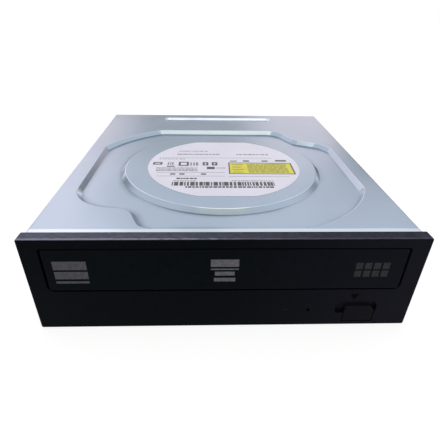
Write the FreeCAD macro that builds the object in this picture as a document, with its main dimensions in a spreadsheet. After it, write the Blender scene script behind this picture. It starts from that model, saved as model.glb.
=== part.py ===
import FreeCAD, Part
import math
import os
import re
import Sketcher

# Half-height internal DVD writer, closed, standing on its underside.
# X runs across the front, Y from the front face to the rear, Z up. The origin is the middle of the base.

doc = FreeCAD.newDocument("dvd_drive")
sheet = doc.addObject("Spreadsheet::Sheet", "sizes")

# Driving dimensions in millimetres, angles in degrees
SIZES = {
    # front bezel and steel case
    "bezel_overhang": 1.1,
    "bezel_lip": 0.35,
    "bezel_depth": 5.0,
    "bezel_face": 2.4,
    "bezel_wall": 1.8,
    "bezel_edge": 0.5,
    "body_width": 146.0,
    "body_height": 41.3,
    "body_length": 165.0,
    "cover_sheet": 0.7,
    "cover_bend": 1.3,
    "pan_sheet": 0.7,
    "pan_bend": 0.4,
    "pan_wall_height": 14.7,
    "nest_gap": 0.1,
    "seat_gap": 0.3,
    "rib_place": 38.0,
    "rib_width": 7.0,
    "rib_ahead": 35.0,
    "rib_behind": 60.0,
    "rib_rise": 0.9,
    "screw_sink": 1.1,
    # pressed relief of the top cover
    "relief_depth": 2.0,
    "relief_slope": 1.9,
    "relief_bend": 0.6,
    "relief_side": 8.5,
    "relief_front": 3.2,
    "relief_rear": 39.0,
    "plateau_radius": 49.9,
    "plateau_height": 1.9,
    "plateau_slope": 2.1,
    "plateau_shift": 1.9,
    "bar_length": 74.0,
    "bar_width": 9.0,
    "bar_rear": 8.5,
    "bar_depth": 1.1,
    "bar_slope": 1.6,
    # mounting holes of the 5.25 inch half-height form
    "mount_hole": 1.5,
    "side_hole_low": 10.0,
    "side_hole_high": 21.84,
    "mount_first": 47.4,
    "mount_pitch": 79.25,
    "base_hole_inset": 3.15,
    # openings of the bezel
    "slot_margin": 6.7,
    "slot_low": 18.7,
    "slot_high": 38.1,
    "door_gap_side": 0.8,
    "door_gap_edge": 0.5,
    "door_depth": 3.5,
    "door_face": 1.6,
    "door_rim": 1.4,
    "door_edge": 0.4,
    "button_inset": 20.2,
    "button_width": 12.4,
    "button_low": 2.1,
    "button_high": 9.4,
    "button_corner": 2.2,
    "button_gap": 0.25,
    "button_travel": 0.8,
    "arch_before": 10.0,
    "arch_past": 6.7,
    "arch_low": 6.6,
    "arch_high": 12.7,
    "arch_depth": 1.5,
    "lamp_inset": 50.1,
    "lamp_level": 8.3,
    "lamp_width": 3.0,
    "lamp_height": 1.1,
    "release_hole": 0.7,
    "release_shift": 9.0,
    "clip_reach": 9.0,
    "clip_low": 25.0,
    "clip_high": 33.0,
    "clip_thick": 1.4,
    # round label
    "label_radius": 38.2,
    "label_x": 1.4,
    "label_shift": 1.3,
    "label_front": 36.1,
    "label_back": 35.6,
    "label_thick": 0.1,
    # disc tray
    "spindle_back": 70.0,
    "tray_gap": 1.7,
    "tray_behind": 87.0,
    "tray_under": 28.0,
    "tray_top": 33.5,
    "tray_floor": 2.0,
    "disc_step": 1.2,
    "disc_pocket": 60.6,
    "small_disc_pocket": 40.6,
    "tray_skin": 1.8,
    "rail_width": 3.0,
    "rail_drop": 4.0,
    "tray_window": 21.0,
    "tray_window_back": 64.0,
    "tray_travel": 133.0,
    # moulded main frame
    "frame_gap": 3.7,
    "frame_wall": 1.6,
    "frame_end_gap": 0.5,
    "frame_rear_gap": 5.0,
    "deck_level": 10.0,
    "deck_thick": 1.6,
    "frame_top": 36.0,
    "window_side_gap": 3.0,
    "window_front_gap": 1.5,
    "window_rear_gap": 1.0,
    "cam_bay_gap": 2.5,
    "cam_bay_ahead": 4.7,
    "ledge_width": 3.7,
    "post_inset": 5.8,
    "post_end": 6.5,
    "post_rear": 4.0,
    "post_radius": 3.2,
    "screw_radius": 1.2,
    "screw_head": 2.6,
    "screw_head_high": 0.9,
    "screw_length": 5.2,
    # lift frame and traverse, drawn level and then swung down about the rear pivot
    "pivot_behind": 80.0,
    "pivot_z": 16.0,
    "pivot_radius": 2.0,
    "turntable_lift": 7.0,
    "lift_half": 40.0,
    "lift_bar": 7.0,
    "lift_ahead": 34.0,
    "lift_behind": 84.0,
    "lift_low": 15.0,
    "lift_thick": 3.5,
    "cam_pin_x": 22.0,
    "cam_pin_radius": 1.5,
    "cam_pin_z": 16.75,
    "damper_x": 36.5,
    "damper_ahead": 26.0,
    "damper_behind": 77.0,
    "damper_radius": 3.3,
    "damper_post": 1.4,
    "plate_low": 20.9,
    "plate_thick": 1.2,
    "rod_x": 25.0,
    "rod_z": 24.0,
    "rod_radius": 1.5,
    "rod_start": 11.5,
    "rod_end": 80.5,
    "screw_x": 33.0,
    "screw_z": 23.2,
    "screw_end": 70.5,
    "sled_motor_radius": 4.4,
    "sled_motor_ahead": 15.0,
    "sled_motor_behind": 9.0,
    "holder_half": 2.6,
    "holder_rise": 2.4,
    "rotor_radius": 12.5,
    "turntable_radius": 14.6,
    "disc_seat": 32.2,
    "cone_top": 34.0,
    "hub_radius": 7.4,
    "lens_start": 24.0,
    "lens_behind": 7.0,
    "pickup_travel": 34.0,
    "pickup_length": 24.0,
    "lens_radius": 2.2,
    "lens_top": 30.9,
    "lead_screw_radius": 1.4,
    "shaft_radius": 1.0,
    "pickup_low": 19.2,
    "pickup_high": 27.2,
    # clamper
    "bridge_sheet": 0.8,
    "bridge_half_depth": 17.0,
    "clamp_hole": 13.2,
    "clamp_hub": 12.5,
    "clamp_flange": 15.5,
    "clamp_under": 34.2,
    # loading drive
    "gear_module": 0.6,
    "rack_module": 1.0,
    "pressure_angle": 20.0,
    "backlash": 0.12,
    "tooth_rise": 0.9,
    "tooth_fall": 1.2,
    "rack_inset": 8.5,
    "rack_bar": 2.6,
    "drive_ahead": 51.0,
    "pinion_teeth": 16,
    "wheel_teeth": 36,
    "idler_teeth": 16,
    "pulley_radius": 9.0,
    "motor_pulley_radius": 2.2,
    "motor_x": 8.0,
    "motor_ahead": 54.8,
    "motor_radius": 9.6,
    "motor_flat": 7.0,
    "motor_seat": 17.5,
    "motor_gap": 0.2,
    "axle_radius": 1.2,
    "axle_gap": 0.05,
    "cam_travel": 20.0,
    "cam_end": 4.5,
    "cam_wall": 2.5,
    "cam_low": 3.0,
    "cam_high": 20.8,
    "cam_ahead": 38.8,
    "belt_height": 1.2,
    "belt_thick": 0.9,
    "belt_rise": 1.5,
    "belt_gap": 0.1,
    "rim_thick": 0.7,
    "rim_height": 0.8,
    "hub_step": 0.4,
    "wheel_gap": 0.5,
    "wheel_thick": 2.1,
    "pinion_gap": 0.6,
    # boards and connector
    "board_level": 4.0,
    "board_thick": 1.6,
    "board_side_gap": 9.6,
    "board_length": 102.0,
    "board_gap": 3.0,
    "plug_side": 4.2,
    "plug_width": 42.5,
    "plug_high": 12.0,
    "plug_inset": 0.9,
    "plug_room": 2.4,
    "plug_depth": 7.0,
    "plug_block": 5.0,
    "plug_wall": 1.2,
    "tongue_rise": 2.6,
    "tongue_thick": 1.2,
    "tongue_key": 1.1,
    "power_start": 1.6,
    "power_width": 21.2,
    "data_start": 3.5,
    "data_width": 10.4,
    "chip_thick": 1.1,
    "main_chip_x": 18.0,
    "main_chip_ahead": 44.0,
    "main_chip_half": 9.0,
    "driver_chip_x": 24.0,
    "driver_chip_ahead": 48.0,
    "driver_chip_half": 6.0,
    "memory_chip_x": 34.0,
    "memory_chip_ahead": 70.0,
    "memory_chip_half": 4.0,
    "front_board_before": 8.0,
    "front_board_past": 4.1,
    "front_board_gap": 1.0,
    "front_board_length": 10.0,
    "switch_half": 3.0,
    "switch_depth": 4.0,
    "switch_height": 4.0,
    "lamp_half": 1.6,
    "lamp_depth": 3.2,
}
for row, (name, size) in enumerate(SIZES.items(), start=1):
    sheet.set(f"A{row}", name)
    sheet.set(f"B{row}", str(size))
    sheet.setAlias(f"B{row}", name)
doc.recompute()

# Levels and places that follow from the driving dimensions
PLACES = {
    "face_y": "-(bezel_depth + body_length) / 2",
    "front_y": "face_y + bezel_depth",
    "rear_y": "(bezel_depth + body_length) / 2",
    "case_base": "bezel_lip",
    "case_top": "bezel_lip + body_height",
    "bezel_width": "body_width + 2 * bezel_overhang",
    "bezel_height": "body_height + 2 * bezel_lip",
    "relief_half": "body_width / 2 - relief_side",
    "plateau_top": "case_top - relief_depth + plateau_height",
    "pan_floor": "case_base + pan_sheet",
    "screw_seat": "case_base + screw_sink",
    "pan_half": "body_width / 2 - cover_sheet - nest_gap",
    "base_hole_span": "body_width - 2 * base_hole_inset",
    "slot_width": "bezel_width - 2 * slot_margin",
    "door_half": "slot_width / 2 - door_gap_side",
    "button_middle": "bezel_width / 2 - button_inset",
    "arch_left": "button_middle - arch_before",
    "arch_right": "button_middle + arch_past",
    "lamp_middle": "bezel_width / 2 - lamp_inset",
    "release_x": "lamp_middle + release_shift",
    "spindle_y": "face_y + spindle_back",
    "plateau_y": "spindle_y + plateau_shift",
    "label_y": "spindle_y + label_shift",
    "frame_half": "pan_half - pan_sheet - frame_gap",
    "frame_front": "-(front_y + frame_end_gap)",
    "frame_back": "rear_y - frame_rear_gap",
    "post_x": "frame_half - post_inset",
    "post_front": "frame_front - post_end",
    "post_back": "frame_back - post_rear",
    "deck_top": "deck_level + deck_thick",
    "tray_width": "2 * (frame_half - frame_wall - tray_gap)",
    "tray_front": "face_y + door_depth",
    "tray_back": "spindle_y + tray_behind",
    "large_floor": "tray_under + tray_floor + disc_step",
    "rail_low": "tray_under - rail_drop",
    "ledge_top": "rail_low - seat_gap",
    "rack_x": "tray_width / 2 - rack_inset",
    "pivot_y": "spindle_y + pivot_behind",
    "lift_angle": "asin(turntable_lift / pivot_behind)",
    "lift_front": "lift_ahead - spindle_y",
    "lift_back": "spindle_y + lift_behind",
    "damper_front": "damper_ahead - spindle_y",
    "damper_back": "spindle_y + damper_behind",
    "window_half": "lift_half + window_side_gap",
    "window_front": "lift_front + window_front_gap",
    "window_back": "lift_back + window_rear_gap",
    "cam_middle": "cam_ahead - spindle_y",
    "cam_rise": "turntable_lift * (pivot_behind + cam_ahead) / pivot_behind",
    "cam_bay_half": "cam_pin_x + cam_travel + cam_end + cam_bay_gap",
    "cam_bay_front": "cam_middle + cam_bay_ahead",
    "plate_top": "plate_low + plate_thick",
    "rod_front": "-(spindle_y + rod_start)",
    "rod_back": "spindle_y + rod_end",
    "screw_back": "spindle_y + screw_end",
    "lens_y": "spindle_y + lens_start",
    "pickup_front": "lens_y - lens_behind",
    "pickup_back": "pickup_front + pickup_length + pickup_travel",
    "pinion_pitch": "rack_module * pinion_teeth / 2",
    "drive_x": "pinion_pitch - rack_x",
    "drive_y": "drive_ahead - spindle_y",
    "idler_x": "drive_x + gear_module * (wheel_teeth + idler_teeth) / 2",
    "motor_y": "motor_ahead - spindle_y",
    "belt_low": "motor_seat + belt_rise",
    "belt_high": "belt_low + belt_height",
    "wheel_low": "belt_high + rim_height + wheel_gap",
    "wheel_high": "wheel_low + wheel_thick",
    "board_half": "frame_half - board_side_gap",
    "board_back": "rear_y - board_gap",
    "board_front": "board_length - board_back",
    "plug_left": "board_half - plug_side",
    "plug_right": "plug_left - plug_width",
    "board_top": "board_level + board_thick",
}


# Writes an expression out in driving dimensions, each read from the sheet
def bound(text, source="sizes."):
    def cell(match):
        word = match.group(0)
        if word in PLACES:
            return "(" + bound(PLACES[word], source) + ")"
        return source + word if word in SIZES else word

    return re.sub(r"[a-z_]+[a-z_0-9]*", cell, str(text))


# The number that an expression gives now
def value(text):
    result = sheet.evalExpression(bound(text, ""))
    return float(getattr(result, "Value", result))


# An empty body whose label names its file
def new_body(label):
    body = doc.addObject("PartDesign::Body", label)
    body.Label = label
    return body


def attach_sketch(body, plane, level):
    sketch = body.newObject("Sketcher::SketchObject", "sketch")
    support = next(item for item in body.Origin.OriginFeatures if item.Role == plane + "_Plane")
    sketch.AttachmentSupport = [(support, "")]
    sketch.MapMode = "FlatFace"
    sketch.setExpression("AttachmentOffset.Base.z", bound(level))
    return sketch


# Adds a constraint and ties its size to the sheet
def tie(sketch, kind, *where, size):
    number = sketch.addConstraint(Sketcher.Constraint(kind, *where, value(size)))
    sketch.setExpression(f"Constraints[{number}]", bound(size))


def join(sketch, kind, *where):
    sketch.addConstraint(Sketcher.Constraint(kind, *where))


# A closed outline through corners (x, y) or (x, y, radius), listed counter-clockwise or clockwise
def outline(*corners):
    def draw(sketch):
        points = [FreeCAD.Vector(value(corner[0]), value(corner[1]), 0) for corner in corners]
        radii = [value(corner[2]) if len(corner) > 2 else 0 for corner in corners]
        count = len(points)
        entry = []
        leave = []
        arcs = []
        for i, point in enumerate(points):
            inward = (point - points[i - 1]).normalize()
            onward = (points[(i + 1) % count] - point).normalize()
            turn = inward.x * onward.y - inward.y * onward.x
            reach = radii[i] * math.tan(inward.getAngle(onward) / 2)
            start = point - inward * reach
            end = point + onward * reach
            side = 1 if turn > 0 else -1
            centre = start + FreeCAD.Vector(-inward.y, inward.x, 0) * (radii[i] * side)
            entry.append(start)
            leave.append(end)
            arcs.append((centre, side))
        lines = []
        for i in range(count):
            end = entry[(i + 1) % count]
            lines.append(sketch.addGeometry(Part.LineSegment(leave[i], end), False))
        for i, corner in enumerate(corners):
            before = lines[i - 1]
            after = lines[i]
            if not radii[i]:
                join(sketch, "Coincident", before, 2, after, 1)
                tie(sketch, "DistanceX", -1, 1, after, 1, size=corner[0])
                tie(sketch, "DistanceY", -1, 1, after, 1, size=corner[1])
                continue
            centre, side = arcs[i]
            first, last = (entry[i], leave[i]) if side > 0 else (leave[i], entry[i])
            from_angle = math.atan2(first.y - centre.y, first.x - centre.x)
            to_angle = math.atan2(last.y - centre.y, last.x - centre.x)
            circle = Part.Circle(centre, FreeCAD.Vector(0, 0, 1), radii[i])
            arc = sketch.addGeometry(Part.ArcOfCircle(circle, from_angle, to_angle), False)
            mark = sketch.addGeometry(Part.Point(points[i]), True)
            join(sketch, "Tangent", before, 2, arc, 1 if side > 0 else 2)
            join(sketch, "Tangent", after, 1, arc, 2 if side > 0 else 1)
            tie(sketch, "DistanceX", -1, 1, mark, 1, size=corner[0])
            tie(sketch, "DistanceY", -1, 1, mark, 1, size=corner[1])
            join(sketch, "PointOnObject", mark, 1, before)
            join(sketch, "PointOnObject", mark, 1, after)
            tie(sketch, "Radius", arc, size=corner[2])

    return draw


def rectangle(left, right, low, high, radius=None):
    ends = [(left, low), (right, low), (right, high), (left, high)]
    return outline(*[end if radius is None else (*end, radius) for end in ends])


def circle(across, up, radius):
    def draw(sketch):
        middle = FreeCAD.Vector(value(across), value(up), 0)
        ring = sketch.addGeometry(Part.Circle(middle, FreeCAD.Vector(0, 0, 1), value(radius)), False)
        tie(sketch, "Radius", ring, size=radius)
        tie(sketch, "DistanceX", -1, 1, ring, 3, size=across)
        tie(sketch, "DistanceY", -1, 1, ring, 3, size=up)

    return draw


# A long hole with round ends about two centres
def slot(x1, y1, x2, y2, radius):
    def draw(sketch):
        first = FreeCAD.Vector(value(x1), value(y1), 0)
        second = FreeCAD.Vector(value(x2), value(y2), 0)
        bearing = math.atan2(second.y - first.y, second.x - first.x)
        size = value(radius)
        across = FreeCAD.Vector(-math.sin(bearing), math.cos(bearing), 0) * size
        up = FreeCAD.Vector(0, 0, 1)
        quarter = math.pi / 2
        near = sketch.addGeometry(
            Part.ArcOfCircle(Part.Circle(first, up, size), bearing + quarter, bearing + 3 * quarter), False)
        far = sketch.addGeometry(
            Part.ArcOfCircle(Part.Circle(second, up, size), bearing - quarter, bearing + quarter), False)
        low = sketch.addGeometry(Part.LineSegment(first - across, second - across), False)
        high = sketch.addGeometry(Part.LineSegment(second + across, first + across), False)
        join(sketch, "Tangent", near, 2, low, 1)
        join(sketch, "Tangent", low, 2, far, 1)
        join(sketch, "Tangent", far, 2, high, 1)
        join(sketch, "Tangent", high, 2, near, 1)
        tie(sketch, "Radius", near, size=radius)
        join(sketch, "Equal", near, far)
        for arc, x, y in ((near, x1, y1), (far, x2, y2)):
            tie(sketch, "DistanceX", -1, 1, arc, 3, size=x)
            tie(sketch, "DistanceY", -1, 1, arc, 3, size=y)

    return draw


# Pads or cuts loops from one level to another along the axis across their plane
def extrude(body, plane, start, end, *loops, cutting=False, draft=None):
    level = f"-({start})" if plane == "XZ" else start
    sketch = attach_sketch(body, plane, level)
    for loop in loops:
        loop(sketch)
    feature = body.newObject("PartDesign::Pocket" if cutting else "PartDesign::Pad", "feature")
    feature.Profile = sketch
    feature.setExpression("Length", bound(f"abs(({end}) - ({start}))"))
    with_normal = (value(end) > value(start)) != (plane == "XZ")
    feature.Reversed = with_normal if cutting else not with_normal
    if draft is not None:
        feature.setExpression("TaperAngle", bound(draft))
    doc.recompute()
    return feature


def cut(body, plane, start, end, *loops, draft=None):
    return extrude(body, plane, start, end, *loops, cutting=True, draft=draft)


# Turns a profile of radius and height about the upright axis through the body's own origin
def turn(body, *corners, cutting=False):
    sketch = attach_sketch(body, "XZ", "0")
    outline(*corners)(sketch)
    kind = "PartDesign::Groove" if cutting else "PartDesign::Revolution"
    feature = body.newObject(kind, "feature")
    feature.Profile = sketch
    feature.ReferenceAxis = (sketch, ["V_Axis"])
    feature.Angle = 360
    doc.recompute()
    return feature


# Rounds or bevels the edges of a body that a test picks
def soften(body, kind, size, picks):
    base = body.Tip
    names = [f"Edge{i}" for i, edge in enumerate(base.Shape.Edges, start=1) if picks(edge)]
    feature = body.newObject(f"PartDesign::{kind}", "feature")
    feature.Base = (base, names)
    feature.setExpression("Radius" if kind == "Fillet" else "Size", bound(size))
    doc.recompute()
    return feature


# True where an edge lies wholly at one coordinate
def lies_at(edge, axis, level):
    low = getattr(edge.BoundBox, axis.upper() + "Min")
    high = getattr(edge.BoundBox, axis.upper() + "Max")
    return abs(low - value(level)) < 0.01 and abs(high - value(level)) < 0.01


def place(body, x="0", y="0", z="0"):
    body.setExpression("Placement.Base.x", bound(x))
    body.setExpression("Placement.Base.y", bound(y))
    body.setExpression("Placement.Base.z", bound(z))


# Stands a piece of the traverse at its raised place and swings it down about the rear pivot
def place_lowered(body, x="0", y="0", z="0"):
    body.Placement = FreeCAD.Placement(FreeCAD.Vector(), FreeCAD.Rotation(FreeCAD.Vector(1, 0, 0), 1))
    body.setExpression("Placement.Rotation.Angle", bound("lift_angle"))
    back = f"(({y}) - pivot_y)"
    rise = f"(({z}) - pivot_z)"
    place(
        body,
        x,
        f"pivot_y + {back} * cos(lift_angle) - {rise} * sin(lift_angle)",
        f"pivot_z + {back} * sin(lift_angle) + {rise} * cos(lift_angle)",
    )


def mount_rows():
    return ["(front_y + mount_first)", "(front_y + mount_first + mount_pitch)"]


# Drawn steel cover: flat top with a pressed relief, two skirts and a rear wall
def make_top_cover():
    body = new_body("top_cover")
    half = "body_width / 2"
    extrude(body, "XY", "case_base", "case_top", rectangle(f"-{half}", half, "front_y", "rear_y"))
    soften(body, "Fillet", "cover_bend", lambda e: (
        lies_at(e, "z", "case_top") and not lies_at(e, "y", "front_y")
        or lies_at(e, "y", "rear_y") and not lies_at(e, "z", "case_base")
    ))
    inside = f"({half} - cover_sheet)"
    cut(body, "XY", "case_base", "case_top - cover_sheet",
        rectangle(f"-{inside}", inside, "front_y - 1", "rear_y - cover_sheet"))
    press_relief(body)
    cut(body, "YZ", f"-{half} - 1", f"{half} + 1", *side_holes())
    cut(body, "XZ", "rear_y + 1", "rear_y - cover_bend",
        rectangle("-plug_left - 1", "1 - plug_right", "board_level", "plug_high + plug_room"))
    window = "(front_y + clip_reach)"
    cut(body, "YZ", f"-{half} - 1", f"{half} + 1",
        rectangle(f"{window} - 4.2", f"{window} - 0.8", "clip_low - 0.5", "clip_high + 0.5"))
    return body


def side_holes():
    rows = mount_rows()
    return [circle(y, f"case_base + {z}", "mount_hole") for y in rows
            for z in ("side_hole_low", "side_hole_high")]


# The recessed field follows a wide arc about the spindle at two corners and steps in at the other two
def field_outline():
    left = "-relief_half"
    right = "relief_half"
    front = "(front_y + relief_front)"
    back = "(rear_y - relief_rear)"
    return outline(
        (left, f"{front} + 19.4", "20"),
        (f"{left} + 25.6", f"{front} + 15.1", "6"),
        (f"{left} + 31.6", front, "8"),
        (f"{right} - 32.5", front, "12"),
        (f"{right} - 10", f"{front} + 11.5", "60"),
        (right, f"{front} + 35", "8"),
        (right, f"{back} - 33.5", "4"),
        (f"{right} - 4.2", f"{back} - 25.7", "12"),
        (f"{right} - 18.2", f"{back} - 18.6", "5"),
        (f"{right} - 26.5", back, "12"),
        (f"{left} + 28.5", back, "10"),
        (f"{left} + 9.5", f"{back} - 11.4", "60"),
        (left, f"{back} - 31.6", "4"),
    )


def bar_outline():
    end = "bar_length / 2"
    back = "(rear_y - bar_rear)"
    front = f"({back} - bar_width)"
    return outline((f"3 - {end}", front, "2.4"), (f"{end} + 1", front, "2.8"), (f"{end} + 1", back, "2.8"),
                   (f"-{end}", back, "2.4"))


# The field, its round plateau and the rear bar are each drawn from above and below,
# so that the sheet keeps its thickness
def press_relief(body):
    under = "case_top - cover_sheet"
    for shape, depth, slope in ((field_outline(), "relief_depth", "relief_slope"),
                                (bar_outline(), "bar_depth", "bar_slope")):
        slant = f"-atan({slope} / {depth})"
        extrude(body, "XY", under, f"{under} - {depth}", shape, draft=slant)
        cut(body, "XY", "case_top", f"case_top - {depth}", shape, draft=slant)
    plateau = circle("0", "plateau_y", "plateau_radius")
    slant = "-atan(plateau_slope / plateau_height)"
    extrude(body, "XY", "case_top - relief_depth", "plateau_top", plateau, draft=slant)
    cut(body, "XY", f"{under} - relief_depth", "plateau_top - cover_sheet", plateau, draft=slant)
    soften(body, "Fillet", "relief_bend", lambda e: (
        lies_at(e, "z", "plateau_top")
        or lies_at(e, "z", "case_top") and abs(e.CenterOfMass.x) < value("relief_half - 1")
        and value("front_y + 1") < e.CenterOfMass.y < value("rear_y - relief_rear + 1")
        or lies_at(e, "z", "case_top") and lies_at(e, "x", "relief_half")
        or lies_at(e, "z", "case_top") and lies_at(e, "x", "-relief_half")
    ))


# Steel pan that closes the underside, nested inside the cover's skirts
def make_bottom_cover():
    body = new_body("bottom_cover")
    back = "(rear_y - cover_sheet - nest_gap)"
    extrude(body, "XY", "case_base", "case_base + pan_wall_height",
            rectangle("-pan_half", "pan_half", "front_y", back))
    soften(body, "Fillet", "pan_bend",
           lambda e: lies_at(e, "z", "case_base") and not lies_at(e, "y", "front_y"))
    inside = "(pan_half - pan_sheet)"
    cut(body, "XY", "case_base + pan_wall_height + 1", "pan_floor",
        rectangle(f"-{inside}", inside, "front_y - 1", f"{back} - pan_sheet"))
    cut(body, "YZ", "-pan_half - 1", "pan_half + 1", *side_holes())
    cut(body, "XZ", "rear_y + 1", f"{back} - pan_sheet - 1",
        rectangle("-plug_left - 1", "1 - plug_right", "board_level - 1", "case_base + pan_wall_height + 1"))
    for side in ("-", ""):
        rib = rectangle(f"{side}rib_place - rib_width / 2", f"{side}rib_place + rib_width / 2",
                        "spindle_y - rib_ahead", "spindle_y + rib_behind", "rib_width / 2 - 0.1")
        extrude(body, "XY", "pan_floor", "pan_floor + rib_rise", rib, draft="-45")
        cut(body, "XY", "case_base", "case_base + rib_rise", rib, draft="-45")
    seats = [circle(x, y, "screw_head + screw_head_high") for x, y in post_places()]
    for seat in seats:
        extrude(body, "XY", "pan_floor", "pan_floor + screw_sink", seat, draft="-20")
        cut(body, "XY", "case_base", "screw_seat", seat, draft="-20")
    holes = [circle(x, y, "screw_radius + 0.2") for x, y in post_places()]
    cut(body, "XY", "case_base - 1", "pan_floor + screw_sink + 1", *holes)
    mounts = [circle(f"{side}base_hole_span / 2", y, "mount_hole") for side in ("-", "")
              for y in mount_rows()]
    cut(body, "XY", "case_base - 1", "pan_floor + 1", *mounts)
    return body


def post_places():
    return [(x, y) for y in ("-post_front", "post_back") for x in ("-post_x", "post_x")]


# Flat-head screws that hold the pan to the posts of the main frame
def make_cover_screws():
    screws = []
    under = "-screw_head_high"
    for number, (x, y) in enumerate(post_places(), start=1):
        body = new_body(f"cover_screw_{number}")
        turn(body, ("0", under), ("screw_head - 0.5", under), ("screw_head", f"{under} + 0.4"),
             ("screw_head", "0"),
             ("screw_radius", "0"), ("screw_radius", "screw_length"), ("0.3", "screw_length + 1"),
             ("0", "screw_length + 1"))
        place(body, x, y, "screw_seat")
        screws.append(body)
    return screws


# Moulded front: a shell with the tray slot, the button opening, the lamp window and two side clips
def make_front_bezel():
    body = new_body("front_bezel")
    half = "bezel_width / 2"
    extrude(body, "XZ", "front_y", "face_y", rectangle(f"-{half}", half, "0", "bezel_height", "0.8"))
    soften(body, "Fillet", "bezel_edge", lambda e: lies_at(e, "y", "face_y"))
    inner = f"({half} - bezel_wall)"
    behind = "(face_y + bezel_face)"
    cut(body, "XZ", "front_y", behind,
        rectangle(f"-{inner}", inner, "bezel_wall", "bezel_height - bezel_wall"))
    add_clips(body, behind)
    collar = "(slot_width / 2 + 1.3)"
    extrude(body, "XZ", behind, "front_y - 1.2",
            rectangle(f"-{collar}", collar, "slot_low - 1.3", "slot_high + 1.3", "2.5"))
    slot = "slot_width / 2"
    cut(body, "XZ", "face_y - 1", "front_y", outline(
        (f"-{slot}", "slot_low", "2.6"), (slot, "slot_low", "2.6"),
        (slot, "slot_high", "1.5"), (f"-{slot}", "slot_high", "1.5")))
    arch = outline(("arch_left", "arch_low", "1.5"), ("arch_right", "arch_low", "1.5"),
                   ("arch_right", "arch_high", "3.2"), ("arch_left", "arch_high", "3.2"))
    cut(body, "XZ", "face_y - 1", "face_y + arch_depth", arch)
    cut(body, "XZ", "face_y - 1", "front_y", button_outline("button_gap"))
    side = "lamp_width / 2"
    level = "lamp_height / 2"
    cut(body, "XZ", "face_y - 1", "front_y",
        rectangle(f"lamp_middle - {side}", f"lamp_middle + {side}", f"lamp_level - {level}",
                  f"lamp_level + {level}"))
    cut(body, "XZ", "face_y - 1", "front_y", circle("release_x", "lamp_level", "release_hole"))
    return body


# Spring arms that reach back inside the skirts, each with a nub in the cover's window
def add_clips(body, behind):
    tip = "(front_y + clip_reach)"
    outer = "(pan_half - pan_sheet - seat_gap)"
    for side in ("-", ""):
        far = f"{side}{outer}"
        near = f"{side}({outer} - clip_thick)"
        nub = f"{side}(body_width / 2 - cover_sheet / 2)"
        extrude(body, "XY", "clip_low", "clip_high", outline(
            (near, behind), (far, behind), (far, f"{tip} - 3.8"), (nub, f"{tip} - 3.8"),
            (nub, f"{tip} - 2.8"), (far, tip), (near, tip)))


def button_outline(gap):
    left = f"(button_middle - button_width / 2 - {gap})"
    right = f"(button_middle + button_width / 2 + {gap})"
    low = f"(button_low - {gap})"
    high = f"(button_high + {gap})"
    round_top = f"(button_corner + {gap})"
    return outline((left, low, "0.6"), (right, low, "0.6"), (right, high, round_top), (left, high, round_top))


# Eject button: a cap with a stem to the switch and a flange that stops it behind the bezel's face
def make_eject_button():
    body = new_body("eject_button")
    behind = "(face_y + bezel_face)"
    flange = f"({behind} + seat_gap)"
    extrude(body, "XZ", flange, "face_y", button_outline("0"))
    soften(body, "Fillet", "0.35", lambda e: lies_at(e, "y", "face_y"))
    extrude(body, "XZ", flange, f"{flange} + 1",
            rectangle("button_middle - button_width / 2 - 1.2", "button_middle + button_width / 2 + 1.2",
                      "button_low", "button_high + 1.2"))
    extrude(body, "XZ", f"{flange} + 1", "front_y + 3",
            rectangle("button_middle - 1.5", "button_middle + 1.5", "board_level + 2.6", "board_level + 4.6"))
    return body


def make_light_pipe():
    body = new_body("light_pipe")
    side = "(lamp_width / 2 - nest_gap)"
    level = "(lamp_height / 2 - nest_gap)"
    extrude(body, "XZ", "front_y + 2.5", "face_y + 0.1",
            rectangle(f"lamp_middle - {side}", f"lamp_middle + {side}", f"lamp_level - {level}",
                      f"lamp_level + {level}"))
    extrude(body, "XZ", "front_y + 2.5", "front_y - 1.5",
            rectangle(f"lamp_middle - {side} - 1", f"lamp_middle + {side} + 1", f"lamp_level - {level} - 0.8",
                      f"lamp_level + {level} + 0.8"))
    return body


# Front panel of the tray: a shallow shell, flush with the bezel's face
def make_tray_door():
    body = new_body("tray_door")
    low = "(slot_low + door_gap_edge)"
    high = "(slot_high - door_gap_edge)"
    extrude(body, "XZ", "tray_front", "face_y", rectangle("-door_half", "door_half", low, high, "0.8"))
    soften(body, "Fillet", "door_edge", lambda e: lies_at(e, "y", "face_y"))
    inner = "(door_half - door_rim)"
    cut(body, "XZ", "tray_front", "face_y + door_face",
        rectangle(f"-{inner}", inner, f"{low} + door_rim", f"{high} - door_rim"))
    for x in ("-50", "0", "50"):
        extrude(body, "XZ", "face_y + door_face", "tray_front",
                rectangle(f"{x} - 5", f"{x} + 5", "tray_under", "tray_top - 1"))
    return body


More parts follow.
